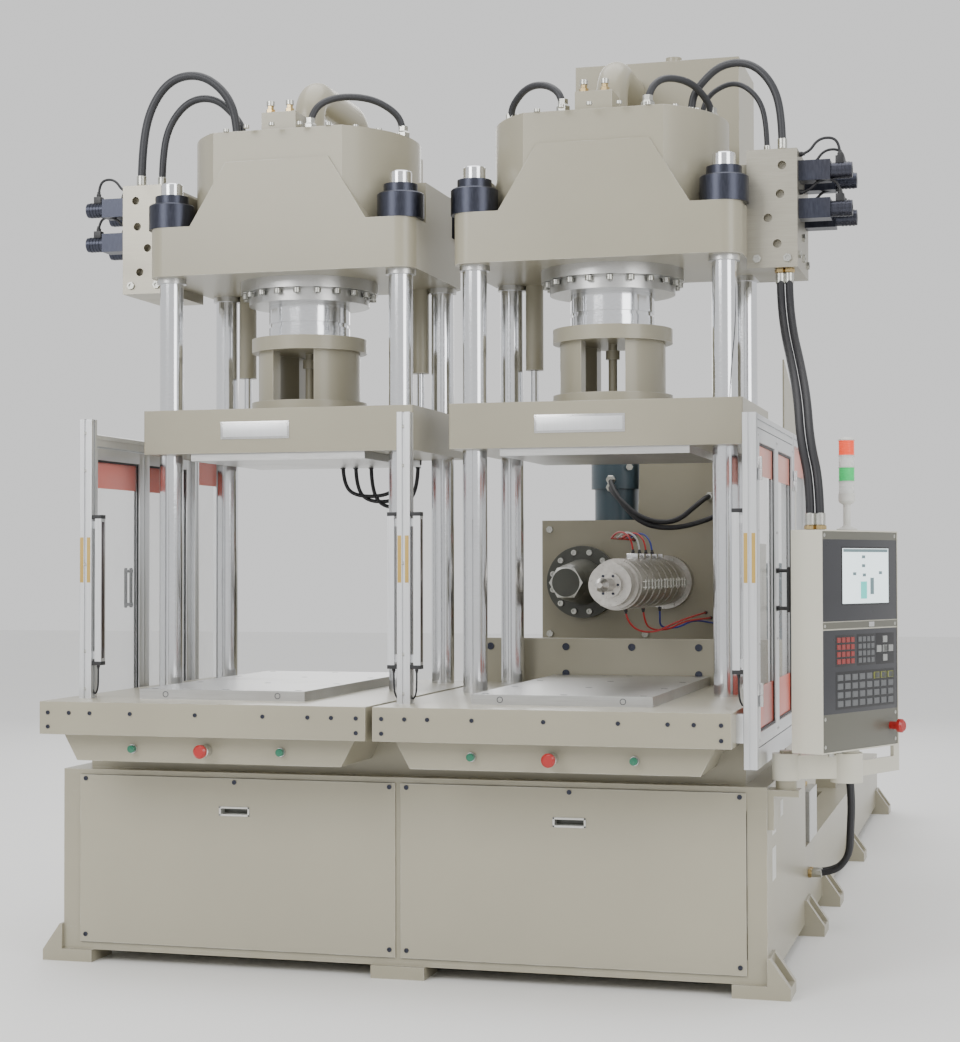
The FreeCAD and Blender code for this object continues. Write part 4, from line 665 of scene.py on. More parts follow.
def slatTree():
    # louvre slats in a column along Z, each tipped by the same angle
    tree, given, result = startTree("slatColumn", [("Count", "Int"), ("Spacing", "Float"), ("Long",
        "Float"), ("Deep", "Float"), ("Thick", "Float"), ("Tip", "Float"), ("Finish", "Material")])
    apart = step(tree, "ShaderNodeCombineXYZ", {"Z": given["Spacing"]})
    line = step(tree, "GeometryNodeMeshLine", {"Count": given["Count"], "Offset": apart.outputs[0]})
    extent = step(tree, "ShaderNodeCombineXYZ", {"X": given["Long"], "Y": given["Deep"], "Z": given["Thick"]})
    slat = step(tree, "GeometryNodeMeshCube", {"Size": extent.outputs[0]})
    tipped = step(tree, "ShaderNodeCombineXYZ", {"X": given["Tip"]})
    placed = step(tree, "GeometryNodeInstanceOnPoints", {"Points": line.outputs[0],
        "Instance": slat.outputs[0], "Rotation": tipped.outputs[0]})
    return closeTree(tree, result, given, placed.outputs[0])


trees = {"fasteners": fastenerTree(), "keyField": keyTree(), "ringRow": ringTree(), "finCrown": finTree(),
    "slatColumn": slatTree()}


def grow(treeName, values, points=None, facing=None):
    # runs a tree on its own holder and keeps only the finished mesh
    tree = trees[treeName]
    start = bpy.data.meshes.new("start")
    if points is not None:
        start.from_pydata([tuple(point) for point in points], [], [])
        aim = start.attributes.new("facing", "FLOAT_VECTOR", "POINT")
        aim.data.foreach_set("vector", [part for direction in facing for part in direction])
    holder = bpy.data.objects.new("holder", start)
    bpy.context.collection.objects.link(holder)
    modifier = holder.modifiers.new("grow", "NODES")
    modifier.node_group = tree
    for item in tree.interface.items_tree:
        if item.in_out == "INPUT" and item.name in values:
            modifier[item.identifier] = values[item.name]
    grown = bpy.data.meshes.new_from_object(holder.evaluated_get(bpy.context.evaluated_depsgraph_get()))
    bpy.data.objects.remove(holder)
    return grown


def fasten(name, body, spots, facing, radius, height, paintName="zincPlate", sides=6, recess=0.6,
        depth=None):
    # spots share one facing, or each has its own
    directions = facing if isinstance(facing, list) else [facing] * len(spots)
    values = {"Sides": sides, "Radius": radius, "Height": height, "Recess": recess,
        "Depth": height * 0.6 if depth is None else depth, "Seed": 4, "Finish": finish[paintName]}
    return settle(grow("fasteners", values, spots, directions), name, body)


print("trees ready:", len(trees))

# hoses and cables
hoseSet = {
    "left": -1.1145, "right": 1.1145, "top": 2.650, "drum": 2.785, "block": 1.063, "blockTop": 0.480,
    "manifoldFoot": 2.262,
    "sleeve": 0.034,
}


def runHose(name, route, radius, paintName, body="machine",
        replaced=()):
    data = bpy.data.curves.new(name, "CURVE")
    data.dimensions = "3D"
    data.resolution_u = 10
    data.bevel_depth = radius
    data.bevel_resolution = 5
    data.use_fill_caps = True
    spline = data.splines.new("NURBS")
    spline.points.add(len(route) - 1)
    for point, spot in zip(spline.points, route):
        point.co = (*spot, 1.0)
    spline.order_u = 3
    spline.use_endpoint_u = True
    data.materials.append(finish[paintName])
    piece = bpy.data.objects.new(name, data)
    bpy.context.collection.objects.link(piece)
    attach(piece, body)
    if replaced:
        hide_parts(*replaced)
    return piece


def hoseRoutes():
    left, right, top, drum = hoseSet["left"], hoseSet["right"], hoseSet["top"], hoseSet["drum"]
    return [
        (0.015, 0.858, [(left - 0.046, 0.600, top), (left - 0.046, 0.600, 2.780), (left - 0.020, 0.606,
            2.940), (left + 0.056, 0.616, 3.048), (left + 0.168, 0.628, 3.064), (left + 0.262, 0.640,
            2.996), (left + 0.304, 0.650, 2.890), (left + 0.304, 0.650, drum)]),
        (0.013, 0.681, [(left + 0.016, 0.640, top), (left + 0.016, 0.640, 2.770), (left + 0.040, 0.646,
            2.892), (left + 0.116, 0.656, 2.980), (left + 0.216, 0.668, 2.982), (left + 0.296, 0.684,
            2.900), (left + 0.312, 0.690, 2.850), (left + 0.312, 0.690, drum)]),
        (0.013, 0.670, [(right + 0.026, 0.600, top), (right + 0.026, 0.600, 2.756), (right + 0.002, 0.606,
            2.876), (right - 0.074, 0.620, 2.964), (right - 0.180, 0.636, 2.972), (right - 0.262, 0.650,
            2.902), (right - 0.286, 0.656, 2.850), (right - 0.286, 0.656, drum)]),
        (0.009, 0.524, [(right - 0.036, 0.700, top), (right - 0.036, 0.700, 2.764), (right - 0.062, 0.706,
            2.866), (right - 0.140, 0.716, 2.930), (right - 0.224, 0.724, 2.902), (right - 0.262, 0.730,
            2.846), (right - 0.262, 0.730, drum)]),
    ]


def baseRoutes():
    block, top = hoseSet["block"], hoseSet["blockTop"]
    return [(0.012, 0.881, [(block + 0.042, y + 0.240, top), (block + 0.042, y + 0.240, top + 0.082),
        (block + 0.097, y + 0.178, top + 0.165), (block + 0.176, y + 0.091, top + 0.165), (block + 0.231,
        y + 0.030, top + 0.082), (block + 0.241, y + 0.014, top - 0.028), (block + 0.237, y + 0.003,
        top - 0.130), (block + 0.233, y, top - 0.221), (block + 0.173, y, top - 0.280), (block + 0.090, y,
        top - 0.280)]) for y in (1.160, 1.204)]


def cableRoutes():
    right, foot = hoseSet["right"], hoseSet["manifoldFoot"]
    landing = cableLanding
    return [(0.013, 1.137, [(right + 0.050 + x, 0.560, foot), (right + 0.050 + x, 0.560, 2.170),
        (right + 0.074 + x, 0.456, 2.040), (right + 0.112 + x, 0.300, 1.930), (right + 0.150 + x, 0.130,
        1.800), (right + 0.172 + x, 0.0, 1.660), (landing.x + x, landing.y, 1.530), (landing.x + x,
        landing.y, landing.z)]) for x in (0, -0.028)]


jointOf = {joint["name"]: joint for joint in frame["record"]["behaviour"]["joints"]}
swivel = jointOf["pendant_swivel"]["pos_m"]
pushAxis = jointOf["pendant_stop_press"]["axis"]
pendantSet = {"wide": 0.440, "deep": 0.105, "cableAcross": 0.046, "cableInward": 0.033}
pendantTurn = math.atan2(-pushAxis[0], pushAxis[1])
pendantPlace = (Matrix.Translation((swivel[0], swivel[1], 0)) @ Matrix.Rotation(pendantTurn, 4,
    "Z") @ Matrix.Translation((-pendantSet["wide"] / 2, -pendantSet["deep"] / 2, 0)))
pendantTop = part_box("pendant")[1][2]
cableLanding = pendantPlace @ Vector((pendantSet["cableAcross"], pendantSet["cableInward"],
    pendantTop + 0.0003))


def hoses():
    for number, (radius, length, route) in enumerate(hoseRoutes()):
        runHose("topHose%d" % number, route, radius, "braidedHose",
            replaced=("top_hoses",) if number == 0 else ())
    for number, (radius, length, route) in enumerate(baseRoutes()):
        runHose("baseHose%d" % number, route, radius, "blackRubber",
            replaced=("base_hoses",) if number == 0 else ())
    for number, (radius, length, route) in enumerate(cableRoutes()):
        runHose("pendantCable%d" % number, route, radius, "blackRubber",
            replaced=("pendant_cable",) if number == 0 else ())
    # crimped sleeves and hex unions at both ends of every hose
    bench = startBench("zincPlate")
    for radius, length, route in hoseRoutes() + baseRoutes() + cableRoutes():
        for end, nextSpot in ((route[0], route[1]), (route[-1], route[-2])):
            away = (Vector(nextSpot) - Vector(end)).normalized()
            start = Vector(end) + away * 0.0005
            addTurned(bench, start, away, [(radius * 0.7, 0), (radius * 1.45, 0.001), (radius * 1.45,
                0.011), (radius * 1.2, 0.013)], "brass", 6)
            addTurned(bench, start + away * 0.013, away, [(radius * 1.12, 0), (radius * 1.22, 0.002),
                (radius * 1.22, hoseSet["sleeve"]), (radius * 1.04, hoseSet["sleeve"] + 0.002)],
                "zincPlate", 20)
    finishBench(bench, "hoseSleeves", "machine")
    print("hoses made")


hoses()


def runCable(name, route, radius, paintName, body="machine"):
    # a cable whose length follows from its own smooth route, with a gland where it starts and where it ends
    points = smoothLine(route, 12)
    runHose(name, route, radius, paintName, body, ())
    bench = startBench("blackPlastic")
    for end, nextSpot in ((route[0], route[1]), (route[-1], route[-2])):
        away = Vector(nextSpot) - Vector(end)
        addTurned(bench, Vector(end) + away.normalized() * 0.0003, away, [(radius * 1.9, 0), (radius * 1.9,
            radius * 2), (radius * 1.4, radius * 2.6), (radius * 1.4, radius * 4)],
            "zincPlate" if radius > 0.008 else "blackPlastic", 6 if radius > 0.008 else 16)
    finishBench(bench, name + "Glands", body)


# guards and doors
guardSet = {"slotWide": 0.008, "slotDeep": 0.005, "bandTop": 0.095, "bandLow": 0.130, "bandThick": 0.0015,
    "doorBar": 0.040, "sillTop": 0.759, "gasket": 0.007, "screwInset": 0.012, "screwEnd": 0.020,
    "screwMiddle": 0.30, "hingeSheet": 0.004, "hingeSeat": 0.007, "hingeRadius": 0.0064}


def slotBar(bench, low, high, paintName="guardAluminium"):
    # an extruded bar with a groove down each face of its long direction
    low, high = Vector(low), Vector(high)
    spans = high - low
    along = max(range(3), key=lambda k: spans[k])
    sideways, upwards = [k for k in range(3) if k != along]
    if sideways == 0 and upwards == 2:
        sideways, upwards = upwards, sideways
    wide, tall = spans[sideways], spans[upwards]
    if min(wide, tall) < 0.034 or max(wide, tall) > 0.045 or spans[along] < 0.08:
        addBlock(bench, low, high, paintName, 0.0012)
        return
    half, deep, soft = guardSet["slotWide"] / 2, guardSet["slotDeep"], 0.0015
    outline = [(soft, 0), (wide / 2 - half, 0), (wide / 2 - half, deep), (wide / 2 + half, deep),
        (wide / 2 + half, 0), (wide - soft, 0), (wide, soft), (wide, tall / 2 - half), (wide - deep,
        tall / 2 - half), (wide - deep, tall / 2 + half), (wide, tall / 2 + half), (wide, tall - soft),
        (wide - soft, tall), (wide / 2 + half, tall), (wide / 2 + half, tall - deep), (wide / 2 - half,
        tall - deep), (wide / 2 - half, tall), (soft, tall), (0, tall - soft), (0, tall / 2 + half), (deep,
        tall / 2 + half), (deep, tall / 2 - half), (0, tall / 2 - half), (0, soft)]
    directions = [Vector([1.0 if k == axis else 0.0 for k in range(3)]) for axis in (sideways, upwards)]
    if directions[0].cross(directions[1])[along] < 0:
        origin = Vector(low)
        origin[along] = high[along]
    else:
        origin = low
    addPrism(bench, outline, origin, directions[0], directions[1], spans[along], paintName)


def hingeHalf(bench, low, high):
    # plate and knuckle of half a hinge; the plate starts at the pin and stays on its own side
    inner = low[0] if abs(low[0]) < abs(high[0]) else high[0]
    outer = high[0] if inner == low[0] else low[0]
    sign = 1 if outer > inner else -1
    face = [inner, inner + sign * guardSet["hingeSheet"]]
    pinY = min(hingeAxes, key=lambda value: min(abs(value - low[1]), abs(value - high[1])))
    start, end = (pinY, high[1]) if abs(pinY - low[1]) < abs(pinY - high[1]) else (low[1], pinY)
    addBlock(bench, (min(face), start, low[2]), (max(face), end, high[2]), "bezelMetal", 0.0008)
    centre = inner + sign * guardSet["hingeSeat"]
    addRod(bench, (centre, pinY, low[2]), (centre, pinY, high[2]), guardSet["hingeRadius"], "bezelMetal", 20)


hingeAxes = [joint["pos_m"][1] for name, joint in jointOf.items() if name.endswith("door_hinge")]


def guardBay(bench, low, high, middle):
    # three uprights with a top rail and a sill between each pair
    bar = guardSet["doorBar"]
    uprights = (low[1], middle, high[1] - bar)
    for y in uprights:
        slotBar(bench, (low[0], y, low[2]), (high[0], y + bar, high[2]))
    for start, end in zip(uprights, uprights[1:]):
        slotBar(bench, (low[0], start + bar, high[2] - bar), (high[0], end, high[2]))
        addBlock(bench, (low[0], start + bar, low[2]), (high[0], end, guardSet["sillTop"]),
            "guardAluminium", 0.0012)


guardMiddle = [max(low[1] for low, high in shells("guard_frames") if (high - low)[0] < 0.03
    and (high - low)[2] > 0.06 and (high - low)[2] < 0.1 and low[0] * sign > 0) for sign in (-1, 1)]


def guards():
    bench = startBench("guardAluminium")
    glass = startBench("clearPane")
    for low, high in shells("guard_frames"):
        spans = high - low
        if spans[2] < 0.045 and spans[0] < 0.020:
            hingeHalf(bench, low, high)
        elif spans[0] < 0.008:
            addBlock(glass, low, high, "clearPane", 0.0004)
            sheetBands(bench, low, high, -1 if low[0] < 0 else 1)
        elif spans[1] > 1.0:
            guardBay(bench, low, high, guardMiddle[0 if low[0] < 0 else 1])
        else:
            slotBar(bench, low, high)
    finishBench(bench, "guardBars", "machine", replaced=("guard_frames",))
    finishBench(glass, "guardPane", "machine")
    print("guards made")


def sheetBands(bench, low, high, sign):
    # coloured strips fixed to the outer face of a pane
    face = high[0] if sign > 0 else low[0]
    near = sorted((face, face + sign * guardSet["bandThick"]))
    upper = "pinkSheet" if sign > 0 else "orangeSheet"
    addBlock(bench, (near[0], low[1], high[2] - guardSet["bandTop"]), (near[1], high[1], high[2]), upper,
        0.0003)
    if sign > 0:
        addBlock(bench, (near[0], low[1], low[2]), (near[1], high[1], low[2] + guardSet["bandLow"]),
            "orangeSheet", 0.0003)


def door(nodeName):
    parts = sorted(shells(nodeName), key=lambda pair: -(pair[1] - pair[0])[2])
    sign = -1 if parts[0][0][0] < 0 else 1
    bar = guardSet["doorBar"]
    low, high = parts[0]
    bench = startBench("guardAluminium")
    for a, b in ((low[1], low[1] + bar), (high[1] - bar, high[1])):
        addBlock(bench, (low[0], a, low[2]), (high[0], b, high[2]), "guardAluminium", 0.0016)
    for a, b in ((low[2], low[2] + bar), (high[2] - bar, high[2])):
        addBlock(bench, (low[0], low[1] + bar, a), (high[0], high[1] - bar, b), "guardAluminium", 0.0016)
    # black gasket round the pane, on both faces
    paneLow, paneHigh = parts[1]
    rim = guardSet["gasket"]
    for x0, x1 in ((paneLow[0] - 0.004, paneLow[0] - 0.0002), (paneHigh[0] + 0.0018, paneHigh[0] + 0.0052)):
        for a, b in ((paneLow[1], paneLow[1] + rim), (paneHigh[1] - rim, paneHigh[1])):
            addBlock(bench, (x0, a, paneLow[2]), (x1, b, paneHigh[2]), "blackRubber", 0.0006)
        for a, b in ((paneLow[2], paneLow[2] + rim), (paneHigh[2] - rim, paneHigh[2])):
            addBlock(bench, (x0, paneLow[1], a), (x1, paneHigh[1], b), "blackRubber", 0.0006)
    sheetBands(bench, paneLow, paneHigh, sign)
    for low2, high2 in parts[2:]:
        if (high2 - low2)[2] < 0.05:
            hingeHalf(bench, low2, high2)
        else:
            face = high[0] if sign > 0 else low[0]
            proud = max(abs(low2[0] - face), abs(high2[0] - face)) - 0.006
            centreY = (low2[1] + high2[1]) / 2
            for height in (low2[2] + 0.012, high2[2] - 0.012):
                addTurned(bench, (face, centreY, height), (sign, 0, 0), [(0.0085, 0), (0.0085, 0.003),
                    (0.0055, 0.006), (0.0055, proud)], "blackPlastic", 16)
            addRod(bench, (face + sign * proud, centreY, low2[2]), (face + sign * proud, centreY, high2[2]),
                0.0059, "blackPlastic", 18, 0.003)
    name = "".join(word.capitalize() if k else word for k, word in enumerate(nodeName.split("_")))
    finishBench(bench, name, bodyOf[nodeName], replaced=(nodeName,))
    glass = startBench("clearPane")
    addBlock(glass, paneLow, paneHigh, "clearPane", 0.0004)
    finishBench(glass, name + "Pane", bodyOf[nodeName])
    inset, end, middle = guardSet["screwInset"], guardSet["screwEnd"], guardSet["screwMiddle"]
    screws = [(high[0] if sign > 0 else low[0], y, z) for y in (low[1] + inset,
        high[1] - inset) for z in (low[2] + end, low[2] + middle, high[2] - middle, high[2] - end)]
    fasten(name + "Screws", bodyOf[nodeName], screws, (sign, 0, 0), 0.0042, 0.0016, "bezelMetal", 12, 0.5,
        0.0012)


guards()
for doorNode in ("left_front_door", "left_rear_door", "right_front_door", "right_rear_door"):
    door(doorNode)
print("doors made")


# safety posts and light curtains
postSet = {
    "capTall": 0.012, "capProud": 0.0008, "screws": (0.90, 1.02, 1.30, 1.60,
        1.72), "topInset": 0.001, "lensSide": 0.007,
    "lensEnd": 0.022, "stripLow": 1.24, "stripTop": 1.385, "stripMiddle": 0.006, "stripEdge": 0.003,
    "guardStrips": ((1.114, 1.125), (1.137, 1.148)), "guardFront": -0.200, "curtainTall": 0.1,
}


def safetyPosts():
    bench = startBench("guardAluminium")
    for low, high in shells("safety_posts"):
        slotBar(bench, low, high)
        inset = postSet["topInset"]
        addBlock(bench, (low[0] + inset, low[1] + inset, high[2] - 0.0004), (high[0] - inset,
            high[1] - inset, high[2]), "blackPlastic")
        middleX = (low[0] + high[0]) / 2
        for z in postSet["screws"]:
            addTurned(bench, (middleX, low[1] + 0.004, z), (0, -1, 0), [(0.0055, 0), (0.0055, 0.0025),
                (0.004, 0.004)], "zincPlate", 16)
    finishBench(bench, "safetyPostBars", "machine", replaced=("safety_posts",))
    detail = startBench("lensStrip")
    count = 0
    for low, high in shells("light_curtains"):
        if (high - low)[2] < postSet["curtainTall"]:
            continue
        towards = 1 if (low[0] < -0.9 or 0.05 < low[0] < 0.2) else -1
        face = high[0] if towards > 0 else low[0]
        inside = sorted((face - towards * 0.001, face + towards * 0.0006))
        side, end, proud = postSet["lensSide"], postSet["lensEnd"], postSet["capProud"]
        addBlock(detail, (inside[0], low[1] + side, low[2] + end), (inside[1], high[1] - side,
            high[2] - end), "lensStrip", 0.0002)
        for a, b in ((low[2], low[2] + postSet["capTall"]), (high[2] - postSet["capTall"], high[2])):
            addBlock(detail, (low[0] - proud, low[1] - proud, a), (high[0] + proud, high[1] + proud, b),
                "blackPlastic", 0.001)
        # the lead loops from the foot back to the upright beside it
        middle = Vector(((low[0] + high[0]) / 2, (low[1] + high[1]) / 2, low[2]))
        runCable("curtainLead%d" % count, [middle + Vector(shift) for shift in (
            (0, 0, 0), (0, 0, -0.040), (-0.002 * towards, 0.002, -0.075), (-0.012 * towards, 0.003, -0.095),
            (-0.022 * towards, 0.003, -0.080), (-0.027 * towards, 0.0, -0.060))], 0.0028, "blackRubber")
        count += 1
    finishBench(detail, "curtainDetail", "machine")
    print("posts made")


safetyPosts()


# front: panels, tables and buttons
frontSet = {
    "tableScrews": (0.027, 0.094, 0.16, 0.287, 0.489, 0.695, 0.83, 0.90, 0.973), "tableScrewRadius": 0.0065,
    "panelInset": 0.019, "screwProud": 0.0022, "panelFoot": 0.024, "panelHead": 0.012,
    "tableUpper": 0.035, "tableLower": 0.024, "rim": 0.006, "plateRows": (0.04, 0.40,
        0.75), "plateSide": 0.035,
}


def frontDetail():
    tables = shells("tables")
    proud = frontSet["screwProud"]
    bench = startBench("machinePaint")
    for low, high in tables:
        addBlock(bench, low + np.array((0, proud, 0)), high, "machinePaint", 0.0022)
    finishBench(bench, "tableSlabs", "machine", replaced=("tables",))
    spots = []
    for low, high in tables:
        for share in frontSet["tableScrews"]:
            spots.append((low[0] + (high[0] - low[0]) * share, low[1] + proud,
                high[2] - frontSet["tableUpper"]))
        for share in (0.027, 0.973):
            spots.append((low[0] + (high[0] - low[0]) * share, low[1] + proud,
                low[2] + frontSet["tableLower"]))
    fasten("tableScrews", "machine", spots, (0, -1, 0), frontSet["tableScrewRadius"], proud, "darkSteel",
        14, 0.55, 0.0016)
    spots = []
    for low, high in shells("front_panels"):
        for x in (low[0] + frontSet["panelInset"], high[0] - frontSet["panelInset"]):
            for z in (low[2] + frontSet["panelFoot"], high[2] - frontSet["panelHead"]):
                spots.append((x, low[1] + 0.0005, z))
        spots.append(((low[0] + high[0]) / 2, low[1] + 0.0005, high[2] - frontSet["panelHead"]))
    fasten("panelScrews", "machine", spots, (0, -1, 0), 0.0075, 0.0030, "darkSteel", 16, 0.5, 0.002)
    # white rims and dark throats of the recessed pulls
    bench = startBench("whitePlastic")
    for low, high in shells("panel_pulls"):
        if (high - low)[0] < 0.08:
            continue
        rim = frontSet["rim"]
        y0, y1 = low[1] - 0.0004, low[1] + 0.003
        for a, b, c, d in ((low[0], high[0], high[2] - rim, high[2]), (low[0], high[0], low[2],
                low[2] + rim), (low[0], low[0] + rim, low[2], high[2]), (high[0] - rim, high[0], low[2],
                high[2])):
            addBlock(bench, (a, y0, c), (b, y1, d), "whitePlastic", 0.0008)
        addBlock(bench, (low[0] + rim, high[1] - 0.006, low[2] + rim), (high[0] - rim, high[1] - 0.003,
            high[2] - rim), "darkPaint", 0.0004)
    finishBench(bench, "pullRims", "machine")
    # shadow gaps where the cabinet's front meets its frame
    bench = startBench("darkPaint")
    # painted shadow: a thin dark strip along the top and bottom edge of each front panel stands in for the
    # shade in its gap
    for low, high in shells("front_panels"):
        for z in (low[2], high[2]):
            addBlock(bench, (low[0] + 0.004, low[1] + 0.0002, z - 0.0012), (high[0] - 0.004, high[1],
                z + 0.0012), "darkPaint", 0)
    finishBench(bench, "panelSeams", "machine")
    # bolts through the ground plates and their side holes
    spots, sides = [], []
    for low, high in shells("lower_plates"):
        side, rows = frontSet["plateSide"], frontSet["plateRows"]
        for x in (low[0] + side, (low[0] + high[0]) / 2, high[0] - side):
            for y in (*(low[1] + row for row in rows), high[1] - rows[0]):
                spots.append((x, y, high[2] - 0.0052))
        for x in (low[0] + 0.09, high[0] - 0.09):
            sides.append((x, low[1] + 0.0004, (low[2] + high[2]) / 2))
    fasten("plateBolts", "machine", spots, (0, 0, 1), 0.0115, 0.0055, "darkSteel", 20, 0.55, 0.0045)
    fasten("plateHoles", "machine", sides, (0, -1, 0), 0.0095, 0.0012, "darkSteel", 20, 0.8, 0.0010)
    # rings round the push buttons
    for side in ("left", "right"):
        for place in ("outer", "inner"):
            bench = startBench("bezelMetal")
            low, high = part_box("%s_%s_button" % (side, place))
            centre = Vector(((low[0] + high[0]) / 2, low[1], (low[2] + high[2]) / 2))
            addTurned(bench, centre - Vector((0, 0.0004, 0)), (0, 1, 0), [(0.0075, 0), (0.0095, 0.0004),
                (0.0095, 0.0010), (0.0075, 0.0012)], "greenPlastic", 28)
            finishBench(bench, "%s%sButtonDish" % (side, place.capitalize()), "%s_%s_button_body" % (side,
                place))
    print("front detail made")


frontDetail()


# press heads
headSet = {"stations": (-0.55, 0.55), "centreY": 0.69, "glandBolts": 20, "glandBoltRadius": 0.012,
    "glandBoltTall": 0.016, "lidBolts": 24, "lidRing": 0.372, "unionSpread": 0.035, "portY": 0.40}


def pressHeads():
    spots, facing, lids = [], [], []
    for low, high in shells("gland_flanges"):
        centre = Vector(((low[0] + high[0]) / 2, (low[1] + high[1]) / 2, 0))
        reach = (high[0] - low[0]) / 2 - 0.016
        for k in range(headSet["glandBolts"]):
            angle = 2 * math.pi * (k + 0.5) / headSet["glandBolts"]
            spots.append((centre.x + reach * math.cos(angle), centre.y + reach * math.sin(angle),
                low[2] + 0.0395))
            facing.append((0, 0, -1))
    fasten("glandBolts", "machine", spots, facing, headSet["glandBoltRadius"], headSet["glandBoltTall"],
        "zincPlate", 20, 0.55, 0.009)
    bench = startBench("zincPlate")
    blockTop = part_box("crossheads")[1][2]
    reach, middleY = headSet["lidRing"], headSet["centreY"]
    for centreX in headSet["stations"]:
        for k in range(headSet["lidBolts"]):
            angle = 2 * math.pi * k / headSet["lidBolts"]
            lids.append((centreX + reach * math.cos(angle), middleY + reach * math.sin(angle),
                hoseSet["drum"]))
        # unions on the port block of the drum
        for shift in (-headSet["unionSpread"], headSet["unionSpread"]):
            spot = Vector((centreX + shift, headSet["portY"], blockTop - 0.0004))
            addTurned(bench, spot, (0, 0, 1), [(0.011, 0), (0.016, 0.001), (0.016, 0.012), (0.011, 0.014),
                (0.011, 0.024)], "brass", 6)
            addTurned(bench, spot + Vector((0, 0, 0.024)), (0, 0, 1), [(0.009, 0), (0.014, 0.001), (0.014,
                0.016), (0.009, 0.018)], "zincPlate", 20)
    fasten("lidBolts", "machine", lids, (0, 0, 1), 0.010, 0.010, "zincPlate", 20, 0.55, 0.006)
    finishBench(bench, "portUnions", "machine")
    print("press heads made")


pressHeads()

# pendant and stack light
faceSet = {
    "left": 0.004, "right": 0.436, "low": 0.744, "high": 1.391, "back": 0.0028, "bezelDown": (0.037, 0.41),
    "screen": (0.26, 0.88, 0.077, 0.331), "strip": (0.414, 0.444), "keys": (0.45, 0.83), "plate": (0.83, 1.0),
    "marks": ((0.54, 0.116), (0.54, 0.157), (0.42, 0.194), (0.55, 0.20), (0.77, 0.19)),
}


def facePoint(across, down):
    wide = faceSet["right"] - faceSet["left"]
    tall = faceSet["high"] - faceSet["low"]
    return faceSet["left"] + wide * across, faceSet["high"] - tall * down


def facePatch(bench, across0, across1, down0, down1, front, paintName, edge=0.0008):
    x0, z1 = facePoint(across0, down0)
    x1, z0 = facePoint(across1, down1)
    addBlock(bench, (x0, front, z0), (x1, faceSet["back"], z1), paintName, edge)


def keyField(name, columns, rows, across0, across1, down0, down1, paintName, gap=0.22):
    x0, z1 = facePoint(across0, down0)
    x1, z0 = facePoint(across1, down1)
    pitchX, pitchY = (x1 - x0) / columns, (z1 - z0) / rows
    values = {"Columns": columns, "Rows": rows, "Pitch X": pitchX, "Pitch Y": pitchY,
        "Key Wide": pitchX * (1 - gap), "Key Tall": pitchY * (1 - gap), "Key Thick": 0.0034,
        "Finish": finish[paintName]}
    middle = Matrix.Translation(((x0 + x1) / 2, 0.0006, (z0 + z1) / 2)) @ Matrix.Rotation(math.pi / 2, 4, "X")
    return settle(grow("keyField", values), name, "pendant_head", pendantPlace @ middle)


